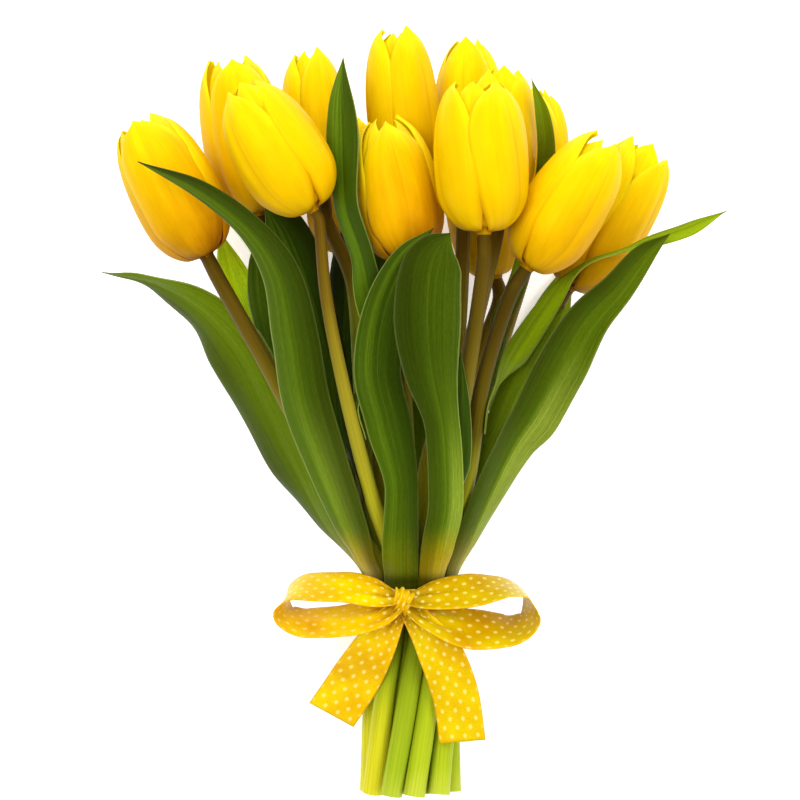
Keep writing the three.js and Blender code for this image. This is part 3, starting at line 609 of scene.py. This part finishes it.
def petal_finish():
    """Yellow petals: orange to brown at the base, lemon at the tip, with long veins and mottled patches."""
    f = Finish("tulip_petal")
    uv, across, along = f.own_map()
    moved = f.moved(uv)
    broad = f.flecks(moved, 2.6, 2.2, detail=4.0)
    streaks = f.flecks(moved, 22, 1.3, detail=4.0)
    veins = f.flecks(moved, 85, 2.2, rough=0.65)
    shifted = f.swayed(f.swayed(along, streaks, 0.16), broad, 0.5)
    light = f.ramp(shifted, [
        (0.0, (0.58, 0.28, 0.001)), (0.05, (0.84, 0.49, 0.0006)), (0.15, (0.92, 0.62, 0.0004)),
        (0.42, (0.93, 0.63, 0.0004)), (0.72, (0.95, 0.70, 0.0006)), (1.0, (0.96, 0.82, 0.004))])
    orange = f.ramp(shifted, [
        (0.0, (0.13, 0.035, 0.0006)), (0.08, (0.34, 0.09, 0.0005)), (0.22, (0.62, 0.21, 0.0004)),
        (0.42, (0.84, 0.40, 0.0004)), (0.70, (0.92, 0.61, 0.0006)), (1.0, (0.95, 0.82, 0.004))])
    colour = f.mix(f.own("warmth"), light, orange)
    from_middle = f.math("ABSOLUTE", f.math("SUBTRACT", across, 0.5))
    # painted shade deepens the rim along the seams low down; the rim is paler and brighter towards the tip
    painted_seam_shade = f.times(f.map(from_middle, 0.40, 0.49), f.map(along, 0.75, 0.15, 0.0, 0.55))
    colour = f.mix(painted_seam_shade, colour, (0.80, 0.36, 0.0005))
    rim = f.times(f.map(from_middle, 0.34, 0.5), f.map(along, 0.35, 0.9, 0.0, 0.8))
    colour = f.mix(rim, colour, (0.97, 0.86, 0.006))
    # fine orange threads that run up from the base
    threads = f.times(f.map(veins, 0.54, 0.72), f.map(along, 0.95, 0.1, 0.04, 0.24))
    colour = f.mix(threads, colour, (0.84, 0.40, 0.0004))
    # painted shade: a deeper orange down the middle groove
    painted_crease_shade = f.times(f.map(from_middle, 0.022, 0.0), f.map(along, 1.0, 0.5, 0.0, 0.45))
    colour = f.mix(painted_crease_shade, colour, (0.80, 0.38, 0.0006))
    shade = f.times(f.map(streaks, 0.25, 0.75, 0.96, 1.02), f.map(broad, 0.2, 0.8, 0.93, 1.05))
    bump = f.bump(f.plus(f.times(veins, 0.6), streaks), 0.28, 0.0005)
    return f.surface(f.shaded(colour, shade), bump, through=0.38, Roughness=0.45, Specular_IOR_Level=0.16,
                     Specular_Tint=(1.0, 0.85, 0.12))


def stem_finish():
    """Stems: bright lime where they were cut, green above the ribbon, olive brown under the bloom."""
    f = Finish("tulip_stem")
    uv, _, _ = f.own_map()
    moved = f.moved(uv)
    threads = f.flecks(moved, 38, 5)
    patches = f.flecks(moved, 3, 7, detail=2.0, rough=0.5)
    shifted = f.swayed(f.own("height"), patches, 0.12)
    green = f.ramp(shifted, [
        (0.0, (0.50, 0.57, 0.04)), (0.06, (0.40, 0.50, 0.015)), (0.42, (0.30, 0.38, 0.006)),
        (0.56, (0.58, 0.54, 0.018)), (0.75, (0.52, 0.44, 0.028)), (0.88, (0.27, 0.17, 0.010)),
        (1.0, (0.13, 0.06, 0.003))])
    dark = f.ramp(shifted, [
        (0.0, (0.44, 0.53, 0.04)), (0.06, (0.34, 0.46, 0.015)), (0.42, (0.22, 0.31, 0.006)),
        (0.58, (0.23, 0.22, 0.007)), (0.72, (0.13, 0.10, 0.004)), (0.88, (0.075, 0.045, 0.003)),
        (1.0, (0.045, 0.022, 0.002))])
    colour = f.mix(f.own("brown"), green, dark)
    colour = f.mix(f.own("fresh"), colour, (0.19, 0.23, 0.008))
    colour = f.mix(f.own("lime"), colour, (0.78, 0.68, 0.02))
    # the threads' tone, times the painted shade below the ribbon
    shade = f.times(f.map(threads, 0.25, 0.75, 0.84, 1.12), f.own("dim"))
    return f.surface(f.shaded(colour, shade), f.bump(threads, 0.5, 0.0006), through=0.12, Roughness=0.42,
                     Specular_IOR_Level=0.2, Specular_Tint=(1.0, 0.85, 0.08))


def cut_finish():
    """The pale wet flesh of a cut stem."""
    f = Finish("cut_stem_end")
    pith = f.noise(f.place(), 900.0, 4.0, 0.7)
    colour = f.ramp(pith, [(0.3, (0.34, 0.42, 0.08)), (0.55, (0.52, 0.58, 0.19)), (0.75, (0.66, 0.68, 0.32))])
    return f.surface(colour, f.bump(pith, 0.5, 0.0004), Roughness=0.28, Specular_IOR_Level=0.5)


def heart_finish():
    """The pistil is pale green, and the anthers are dusty with pollen."""
    f = Finish("tulip_pistil_and_stamens")
    dust = f.noise(f.place(), 1400.0, 3.0, 0.6)
    pistil = f.ramp(dust, [(0.3, (0.42, 0.46, 0.05)), (0.7, (0.66, 0.66, 0.16))])
    pollen = f.ramp(dust, [(0.3, (0.30, 0.16, 0.004)), (0.7, (0.66, 0.42, 0.02))])
    colour = f.mix(f.own("warmth"), pistil, pollen)
    return f.surface(colour, f.bump(dust, 0.6, 0.0003), Roughness=0.6, Specular_IOR_Level=0.3)


def leaf_finish():
    """Leaves: fine parallel veins, light and dark bands, a lighter rim, and a yellow-green foot."""
    f = Finish("tulip_leaf")
    uv, across, along = f.own_map()
    moved = f.moved(uv)
    veins = f.flecks(moved, 120, 2.0)
    bands = f.flecks(moved, 9, 1.1, rough=0.55)
    grain = f.flecks(moved, 60, 90)
    broad = f.flecks(moved, 3, 3, detail=2.5, rough=0.5)
    shifted = f.swayed(along, bands, 0.2)
    deep = f.ramp(shifted, [
        (0.0, (0.12, 0.18, 0.003)), (0.2, (0.065, 0.125, 0.0022)), (0.45, (0.032, 0.078, 0.0018)),
        (0.85, (0.022, 0.055, 0.0022)), (1.0, (0.03, 0.06, 0.003))])
    bright = f.ramp(shifted, [
        (0.0, (0.24, 0.30, 0.004)), (0.15, (0.26, 0.36, 0.003)), (0.5, (0.32, 0.44, 0.003)),
        (1.0, (0.36, 0.48, 0.005))])
    colour = f.mix(f.own("light"), deep, bright)
    # paler bands that run with the veins, and a waxy bloom
    pale = f.times(f.map(bands, 0.44, 0.70), 0.55)
    colour = f.mix(pale, colour, (0.115, 0.20, 0.006))
    wax = f.times(f.map(broad, 0.4, 0.8), 0.15)
    colour = f.mix(wax, colour, (0.08, 0.14, 0.02))
    from_middle = f.math("ABSOLUTE", f.math("SUBTRACT", across, 0.5))
    # the paler rim is partly the leaf's own margin and partly a painted highlight
    rim = f.times(f.map(from_middle, 0.462, 0.49), 0.6)
    colour = f.mix(rim, colour, (0.36, 0.42, 0.10))
    middle = f.times(f.map(from_middle, 0.03, 0.0), f.map(along, 0.95, 0.1, 0.1, 0.35))
    colour = f.mix(middle, colour, (0.16, 0.25, 0.012))
    # the pale bands are partly a paler underside turned over and partly painted light
    band = f.times(f.own("band"), f.map(veins, 0.25, 0.6, 0.5, 1.0))
    colour = f.mix(band, colour, (0.34, 0.43, 0.045))
    # the foot turns yellow and orange towards the ribbon
    blush = f.times(f.own("foot"), f.map(bands, 0.3, 0.6, 0.55, 1.0))
    colour = f.mix(blush, colour, (0.50, 0.36, 0.008))
    tip = f.times(f.map(along, 0.975, 1.0), 0.8)
    colour = f.mix(tip, colour, (0.07, 0.045, 0.012))
    shade = f.times(f.map(veins, 0.3, 0.7, 0.74, 1.24), f.map(grain, 0.3, 0.7, 0.88, 1.12))
    # painted light and shade: each leaf's lift, its darker half and the dark under the ribbon
    colour = f.shaded(colour, f.times(shade, f.own("dim")))
    fine = f.plus(f.times(grain, 0.3), f.times(bands, 0.8))
    bump = f.bump(f.plus(veins, fine), 0.5, 0.0006)
    return f.surface(colour, bump, through=0.2, through_colour=f.mix(0.5, colour, (0.16, 0.30, 0.001)),
                     Roughness=0.42, Specular_IOR_Level=0.2, Specular_Tint=(0.8, 1.0, 0.06))


def satin_finish():
    """Golden satin with a woven edge and rows of small cream dots."""
    f = Finish("dotted_satin")
    uv, across, _ = f.own_map()  # 1 is 100 mm
    cloudy = f.noise(f.place(), 55.0)
    threads = f.flecks(uv, 40, 420, detail=2.0, rough=0.7)
    inputs = {"Vector": uv, "Scale": 90.0, "Distortion": 1.0, "Detail": 1.0}
    weft = f.node("ShaderNodeTexWave", inputs, wave_type="BANDS", bands_direction="Y").outputs["Fac"]
    # cloudy gold and orange, partly the satin's own tone and partly painted shade and highlights
    colour = f.ramp(cloudy, [
        (0.3, (0.80, 0.42, 0.0006)), (0.5, (0.91, 0.58, 0.0008)), (0.7, (0.95, 0.74, 0.001))])
    # the threads' tone, times the painted shade that each part of the ribbon carries
    shade = f.times(f.map(threads, 0.3, 0.7, 0.90, 1.06), f.own("dim"))
    colour = f.shaded(colour, shade)
    # small dots in staggered rows, 4.3 mm apart
    slanted = f.stretched(uv, (23.0, 23.0, 1.0), place=(0.31, 0.17, 0), turn=(0, 0, math.radians(45)))
    inputs = {"Vector": slanted, "Scale": 1.0, "Randomness": 0.0}
    from_dot = f.node("ShaderNodeTexVoronoi", inputs, voronoi_dimensions="2D").outputs["Distance"]
    dot = f.times(f.map(from_dot, 0.25, 0.11), 0.7)
    colour = f.mix(dot, colour, (0.97, 0.82, 0.22))
    hem = f.map(f.math("ABSOLUTE", across), 0.101, 0.106)
    colour = f.mix(f.times(hem, 0.6), colour, (0.86, 0.42, 0.001))
    weave = f.plus(f.times(threads, 0.5), hem)
    bump = f.bump(f.plus(f.times(weft, 0.5), weave), 0.3, 0.00025)
    return f.surface(colour, bump, through=0.15, Roughness=0.32, Specular_IOR_Level=0.45, Anisotropic=0.4,
                     Specular_Tint=(1.0, 0.85, 0.12))


def floor_finish():
    """A pale floor with a faint glow."""
    f = Finish("pale_floor")
    mottle = f.noise(f.place(), 3.0, 2.0)
    colour = f.ramp(mottle, [(0.0, (0.95, 0.95, 0.95)), (1.0, (0.97, 0.97, 0.97))])
    return f.surface(colour, f.bump(mottle, 0.02, 0.001), Roughness=0.7, Specular_IOR_Level=0.2,
                     Emission_Color=(1.0, 1.0, 1.0), Emission_Strength=0.44)


petal_look, heart_look, stem_look, cut_look = petal_finish(), heart_finish(), stem_finish(), cut_finish()
leaf_look, satin_look = leaf_finish(), satin_finish()

# Blooms

TEPAL_ACROSS, TEPAL_ALONG = 18, 30
CUP_SHARE = 0.04  # the cup has the colours of this lowest share of a petal

# Stations up a bloom's own line: height, distance from the line, radius.
PISTIL = [
    [4.5, 0, 2.4], [8, 0, 3.2], [14, 0, 3.1], [20, 0, 2.6], [22, 0, 3.8], [24, 0, 4.2], [25.4, 0, 2.8],
    [25.8, 0, 0.4],
]
STAMEN = [
    [4.5, 3.7, 0.7], [9, 4.8, 0.65], [13, 5.6, 0.6], [14.6, 5.9, 1.3], [19, 6.6, 1.6], [24, 7.2, 1.4],
    [26, 7.4, 0.3],
]


def vary(n):
    """Small even differences between tepals and between blooms."""
    return math.sin(2.4 * n + 0.7)


def tepal(tulip, number, k):
    """A tepal's surface, whether it is one of the inner three, which are the odd ones, and its seed."""
    foot, up = bloom_axis(tulip)
    foot = foot + CLEARANCE * up
    is_inner = k % 2 == 1
    seed = number * 6 + k
    middle = tulip["turn"] + 60 * k + 1.5 * vary(seed)
    arc = INNER_ARC if is_inner else OUTER_ARC
    long = tulip["long"] * (1 + 0.02 * vary(seed + 3))
    open_by = tulip["open"] + 0.03 * vary(seed + 5)
    twist = tulip.get("twist", TWIST)

    def surface(u, s):
        height, width = smooth_line(PROFILE, s).T
        rise = 0.68 + 0.32 * np.sin(np.minimum(s / 0.45, 1) * (math.pi / 2))
        point = 1 - np.maximum((np.minimum(s, 0.997) - 0.5) / 0.5, 0) ** 3.2
        overlap = OVERLAP_LIFT * (u + 1) * 0.5 * np.sin(math.pi * np.clip(s, 0, 1))
        lift = -INNER_SINK * np.minimum(5 * s, 1) if is_inner else overlap
        raised = INNER_RAISE * (1 - s) ** 4 if is_inner else 0 * s
        r = np.maximum(tulip["r"] * (width + open_by * s**3) + lift, 1.2)
        centre = foot + up * (height * long + raised)[:, None]
        return around(centre, up, r, middle + twist * s + u * arc * rise * point)

    return surface, is_inner, seed


def tepal_relief(seed, is_inner, u, s):
    """How far a tepal stands out from its plain surface: its middle groove, soft swells, rim and tip."""
    chance = np.random.default_rng(1000 + seed)
    phase, swell, lean = chance.uniform(0, 2 * math.pi, 3)
    tip_out = chance.uniform(-0.4, 0.8)
    waves = chance.uniform(1.6, 2.6)
    groove = -0.5 * hill(u, 0, 0.07) * ramp(s, 0.05, 0.3) * (1 - ramp(s, 0.8, 1.0))
    beside = 0.18 * hill(abs(u), 0.22, 0.12) * ramp(s, 0.1, 0.4) * (1 - ramp(s, 0.8, 1.0))
    soft = 0.28 * np.sin(2.2 * math.pi * s + swell) * np.cos(1.4 * u + lean) * ramp(s, 0.05, 0.3)
    soft *= 1 - ramp(s, 0.85, 1.0)
    rim = 0.3 * abs(u) ** 3 * np.sin(2 * math.pi * waves * s + phase) * ramp(s, 0.15, 0.4)
    close = 0 * u if is_inner else -(1.5 + 0.7 * u) * abs(u) ** 3 * ramp(s, 0.08, 0.3)
    tip = tip_out * ramp(s, 0.9, 1.0) * (0.4 if is_inner else 1.0)
    foot = -0.2 * (1 - ramp(s, 0.0, 0.1))
    return groove + beside + soft + rim + close + tip + foot


def axis_points(tulip, points):
    """The nearest points on a bloom's own line."""
    foot, up = bloom_axis(tulip)
    return foot + ((points - foot) @ up)[:, None] * up


def bloom_tube(name, sides, along, tulip, stations, angle=0):
    """A tube up a bloom's own line, or beside it at an angle in degrees."""
    foot, up = bloom_axis(tulip)

    def line(t):
        height, out, radius = smooth_line(stations, t).T
        centre = around(foot + up * height[:, None], up, out, angle + 0 * t)
        return centre, np.broadcast_to(up, (len(t), 3)), radius

    return tube(name, sides, along, line)


def make_heart(tulip, name):
    """The six stamens of a bloom, and the pistil in their middle."""
    parts = []
    for k in range(7):
        is_pistil = k == 6
        stations, angle = (PISTIL, 0) if is_pistil else (STAMEN, tulip["turn"] + 60 * k + 30)
        piece = bloom_tube(f"{name}_heart_{k + 1}", 12, 28, tulip, stations, angle)
        mark(piece, tone=0.5, warmth=0.0 if is_pistil else 1.0)
        # the petals' material comes first in a bloom, and the heart's own second
        piece.data.materials.append(petal_look)
        piece.data.materials.append(heart_look)
        piece.data.polygons.foreach_set("material_index", np.ones(len(piece.data.polygons), dtype=np.int32))
        parts.append(piece)
    return parts


def make_cup(tulip, name):
    """The swollen top of a stem, which carries the petals."""
    neck = tulip.get("neck", STEM_R_BLOOM)
    stations = [
        [-0.3, 0, neck], [0.6, 0, neck + 0.15], [1.8, 0, 3.7], [3.2, 0, 4.5], [4.6, 0, 4.3], [5.6, 0, 3.0],
        [6.0, 0, 0.4],
    ]
    cup = bloom_tube(f"{name}_cup", 20, 12, tulip, stations)
    mark(cup, tone=0.5, warmth=tulip["warmth"])
    uv = cup.data.uv_layers[0].data
    at = np.empty(len(uv) * 2)
    uv.foreach_get("uv", at)
    at[1::2] *= CUP_SHARE
    uv.foreach_set("uv", at)
    return cup


def make_bloom(tulip, number):
    """Six petals, the cup that carries them, and the pistil and stamens inside."""
    name = f"bloom_{number + 1:02d}"
    parts = []
    for k in range(6):
        piece, u, s = grid(f"{name}_petal_{k + 1}", TEPAL_ACROSS, TEPAL_ALONG)
        surface, is_inner, seed = tepal(tulip, number, k)
        points = surface(u, s) - normals(surface, u, s) * tepal_relief(seed, is_inner, u, s)[:, None]
        if tulip.get("lies"):
            points[:, 2] = np.maximum(points[:, 2], TEPAL_THICK / 2)
        place(piece, points)
        # painted shade: the side that faces right and down, away from the light, is painted more orange
        away = (points - axis_points(tulip, points)) @ np.array((0.75, -0.4, -0.5)) / tulip["r"]
        warmth = np.clip(tulip["warmth"] * (1 + 0.5 * away) + 0.05 * away, 0, 1)
        mark(piece, tone=np.random.default_rng(seed).uniform(), warmth=warmth)
        full = ramp(1 - abs(u), 0.0, 0.35) * ramp(1 - s, 0.0, 0.2)
        thicken(piece, TEPAL_THICK, full, 0.3)
        parts.append(piece)
    parts.append(make_cup(tulip, name))
    for piece in parts:
        piece.data.materials.append(petal_look)
    bloom = join("tulip_" + name, [*parts, *make_heart(tulip, name)])
    choose(bloom)
    bpy.ops.object.shade_smooth()
    dress(bloom, [petal_look, heart_look], name)


# Stems and leaves


def make_stem(tulip, number):
    """A stem with its colours by height: 0 at the cut, 0.5 under the ribbon and 1 at the bloom."""
    name = f"stem_{number + 1:02d}"
    piece = tube("tulip_" + name, 22, 84, lambda t: stem_at(tulip, t))
    y = points_of(piece)[:, 1]
    above, below = (y - TIE_Y) / (tulip["foot"][1] - TIE_Y), (y - TIE_Y) / (TIE_Y - CUT_Y)
    height = 0.5 + 0.5 * np.clip(np.where(y > TIE_Y, above, below), -1, 1)
    start = tulip.get("browned", -1)  # the others may be brown from their cut end up
    browned = ramp(height, start - 0.06, start + 0.04)
    fresh = tulip.get("fresh", 0.0) * ramp(height, 0.45, 0.55) * (1 - browned)
    lime = tulip.get("lime", 0.0) * ramp(height, 0.35, 0.1)
    # darker in the shade of the bow, below the ribbon
    dim = 1 - 0.5 * ramp(y, -128, -92) * (y < TIE_Y)
    tone = np.random.default_rng(300 + number).uniform()
    mark(piece, height=height, brown=tulip["brown"] * browned, fresh=fresh, lime=lime, dim=dim, tone=tone)
    piece.data.materials.append(stem_look)
    piece.data.materials.append(cut_look)
    # the cut end: its rim stands a little above the flesh inside, here in metres
    cut_y = (CUT_Y + BUNCH_SHIFT[1]) * MM
    for face in piece.data.polygons:
        is_cut = len(face.vertices) > 4 and face.center.y < cut_y + 0.004
        face.select = is_cut
        face.material_index = 1 if is_cut else 0
    choose(piece)
    bpy.ops.object.mode_set(mode="EDIT")
    bpy.ops.mesh.select_mode(type="FACE")
    bpy.ops.mesh.inset(thickness=0.0006, depth=-0.0002)
    bpy.ops.mesh.inset(thickness=0.0009, depth=0.0003)
    bpy.ops.mesh.select_all(action="DESELECT")
    bpy.ops.object.mode_set(mode="OBJECT")
    bpy.ops.object.shade_smooth_by_angle(angle=math.radians(35))
    dress(piece, [stem_look, cut_look], name)


def make_leaf(name, stations, light, waves, wave_height, seed):
    """A leaf with a groove along its middle, wavy edges and a soft fold."""
    piece, u, t = grid("tulip_leaf_" + name, 20, 100)
    surface = strip(stations)
    half = np.maximum(smooth_line(stations, t)[:, 3], NARROWEST)
    chance = np.random.default_rng(500 + seed)
    phase, other = chance.uniform(0, 2 * math.pi, 2)
    free = ramp(t, 0.22, 0.4) * (1 - ramp(t, 0.9, 1.0))
    groove = -0.45 * hill(u * half, 0, 1.0) * ramp(t, 0.12, 0.3) * np.minimum(half / 6, 1)
    left, right = np.sin(2 * math.pi * waves * t + phase), np.sin(2 * math.pi * (waves + 0.7) * t + other)
    rim = wave_height * u**2 * np.where(u < 0, left, right) * free
    fold = 0.9 * (abs(u) - 0.5) * np.minimum(half / 8, 1) * ramp(t, 0.15, 0.35)
    points = surface(u, t) + normals(surface, u, t) * (groove + rim + fold)[:, None]
    place(piece, points)
    y = points[:, 1]
    foot, shaded_side, shaded = LEAF_SHADES.get(name, (0.4, 0, 0.0))
    amount, start, end, edge = LEAF_BANDS.get(name, (0.0, 0.2, 0.5, 0.0))
    low, high = LEAF_PAINTED_LIGHT_AND_SHADE.get(name, (1.0, 1.0))
    # pale bands, partly the paler underside where an edge turns over and partly painted light
    band = amount * ramp(u, edge, edge + 0.3) * ramp(t, start - 0.1, start) * (1 - ramp(t, end, end + 0.2))
    # painted light and shade: lighter or darker along the leaf, and darker on one half
    dim = (low + (high - low) * ramp(t, 0.35, 0.6)) * (1 - shaded * ramp(u * shaded_side, -0.35, 0.75))
    # painted shade: dark where the leaf goes in under the ribbon
    dim = dim * (1 - 0.8 * ramp(y, -66, -72))
    mark(piece, band=band, foot=foot * ramp(y, -46, -66), dim=dim, light=light, tone=chance.uniform())
    full = ramp(1 - abs(u), 0.0, 0.3) * ramp(1 - t, 0.0, 0.06)
    thicken(piece, LEAF_THICK, full, 0.35)
    choose(piece)
    bpy.ops.object.shade_smooth()
    dress(piece, [leaf_look], "leaf_" + name)


# Ribbon


def true_map(piece, u, t, long):
    """Lays the ribbon's own map in its true size: across from its middle, and along, in units of 100 mm."""
    uv = piece.data.uv_layers[0].data
    corners = np.empty(len(piece.data.loops), int)
    piece.data.loops.foreach_get("vertex_index", corners)
    at = np.stack([u[corners] * RIBBON_HALF, t[corners] * long], axis=1) / 100
    uv.foreach_set("uv", at.astype(np.float32).ravel())


def ribbon_strip(name, surface, across, along, relief, long):
    """One length of the ribbon, with folds that stand out from its plain surface by relief(u, t)."""
    piece, u, t = grid(name, across, along)
    place(piece, surface(u, t) + normals(surface, u, t) * relief(u, t)[:, None])
    true_map(piece, u, t, long)
    thicken(piece, SATIN_THICK, np.ones(len(u)), 1.0)
    return piece


def ribbon_end(name, rows, order):
    """A loop or a tail of the bow, pleated where it is gathered into the knot."""
    stations = [(*row, 0) for row in rows]
    is_loop = "loop" in name
    chance = np.random.default_rng(700 + order)
    phase, turn = chance.uniform(0, 2 * math.pi, 2)
    line = smooth_line(stations, np.linspace(0, 1, 200))[:, :3]
    long = float(np.linalg.norm(np.diff(line, axis=0), axis=1).sum())

    def relief(u, t):
        half = smooth_line(stations, t)[:, 3]
        gather = np.clip((RIBBON_HALF - half) / (RIBBON_HALF - GATHERED), 0, 1)
        near = np.minimum(t, 1 - t) if is_loop else t
        pleats = 1.3 * gather**1.2 * np.sin(3 * math.pi * u + phase)
        creases = 0.8 * np.exp(-near / 0.13) * np.sin(2 * math.pi * u + turn)
        swell = 0.5 * np.sin(2 * math.pi * t * 1.4 + phase) * ramp(near, 0.15, 0.4) * np.cos(u * 1.2 + turn)
        return pleats + creases + swell

    end = ribbon_strip(name, strip(stations), 20, 90 if is_loop else 60, relief, long)
    # painted shade: each end darker by its own share, and darker still near the knot
    from_knot = np.linalg.norm(points_of(end) - KNOT, axis=1)
    mark(end, dim=RIBBON_PAINTED_SHADE[name] * (1 - 0.35 * ramp(from_knot, 16, 5)))
    return end


def ribbon_band():
    """The turn of ribbon round the bundle."""
    radius = BAND_R + RIBBON_THICK / 2

    def round_bundle(u, t):
        angle = 2 * math.pi * t
        y = TIE_Y + u * BAND_WIDE / 2
        return np.stack([radius * np.cos(angle), y, TIE_Z + radius * np.sin(angle)], axis=1)

    def folds(u, t):
        return 0.3 * np.sin(4.5 * math.pi * u + 0.6 * np.sin(2 * math.pi * t)) * (1 - abs(u) ** 4)

    band = ribbon_strip("band", round_bundle, 24, 96, folds, 2 * math.pi * BAND_R)
    # painted shade on the band under the bow
    mark(band, dim=0.8)
    return band


def ribbon_knot():
    """The knot: a gathered turn of ribbon over the middle of the bow."""
    slant = math.radians(KNOT_SLANT)
    along = np.array((math.sin(slant), math.cos(slant), 0.0))
    side = np.array((math.cos(slant), -math.sin(slant), 0.0))
    upwards = np.array((0, 0, 1.0))

    def over_knot(u, t):
        angle = -2 * math.pi * t
        bulge = 1 - 0.22 * u**2
        half = KNOT_WIDE + 0.5 * np.cos(2 * angle)
        centre = KNOT + (KNOT_LONG * bulge * np.cos(angle))[:, None] * along
        centre += (KNOT_DEEP * bulge * np.sin(angle))[:, None] * upwards
        return centre + (u * half)[:, None] * side

    def folds(u, t):
        deep = 0.5 * np.sin(4 * math.pi * u + 1.2 * np.sin(2 * math.pi * t + 0.4) + 0.8)
        return deep + 0.25 * np.sin(2.2 * math.pi * u + 4)

    knot = ribbon_strip("knot", over_knot, 30, 60, folds, KNOT_ROUND)
    # a little painted shade on the knot
    mark(knot, dim=0.94)
    return knot


def make_ribbon():
    """The ribbon's two loops, two tails, band and knot as one piece."""
    parts = [ribbon_end(name, rows, order) for order, (name, rows) in enumerate(RIBBON_ENDS.items())]
    parts += [ribbon_band(), ribbon_knot()]
    ribbon = join("satin_ribbon", parts)
    choose(ribbon)
    bpy.ops.object.shade_smooth()
    dress(ribbon, [satin_look], "ribbon")
    return ribbon


for index, tulip in enumerate(TULIPS):
    make_stem(tulip, index)
    make_bloom(tulip, index)
for order, (name, (stations, light, waves, wave_height)) in enumerate(LEAVES.items()):
    make_leaf(name, stations, light, waves, wave_height, order)
ribbon = make_ribbon()

# Floor, light and camera

bpy.ops.object.select_all(action="DESELECT")
bpy.ops.mesh.primitive_plane_add(size=6, location=(0, 0, -0.0002))
floor = bpy.context.object
floor.name = "floor"
floor.data.materials.append(floor_finish())

world = bpy.data.worlds.new("studio")
bpy.context.scene.world = world
world.use_nodes = True
world.node_tree.nodes["Background"].inputs["Color"].default_value = (1, 1, 1, 1)
world.node_tree.nodes["Background"].inputs["Strength"].default_value = 0.66


def softbox(name, place_at, aim, size, power):
    """A round lamp of a size in metres and a power in watts."""
    bpy.ops.object.select_all(action="DESELECT")
    bpy.ops.object.light_add(type="AREA", location=place_at)
    lamp = bpy.context.object
    lamp.name = name
    lamp.data.shape = "DISK"
    lamp.data.size = size
    lamp.data.energy = power
    from_aim = np.array(place_at) - np.array(aim)
    tilt = math.atan2(math.hypot(from_aim[0], from_aim[1]), from_aim[2])
    lamp.rotation_euler = (tilt, 0, math.atan2(from_aim[1], from_aim[0]) + math.pi / 2)


softbox("key_softbox", place_at=(-0.38, 0.3, 1.2), aim=(0, 0, 0.04), size=0.85, power=11.5)
softbox("fill_softbox", place_at=(0.8, -0.1, 0.8), aim=(0, 0, 0.04), size=0.9, power=5.5)
softbox("back_softbox", place_at=(0.15, 1.1, 0.45), aim=(0, 0.1, 0.06), size=0.7, power=7)

# straight above the bunch, close to its middle
bpy.ops.object.camera_add(location=(-0.0051, 0.00635, 1.36), rotation=(0, 0, 0))
camera = bpy.context.object
camera.name = "camera"
camera.data.sensor_width = 36
camera.data.lens = 139.3
bpy.context.scene.camera = camera
bpy.context.scene.view_settings.view_transform = "Standard"
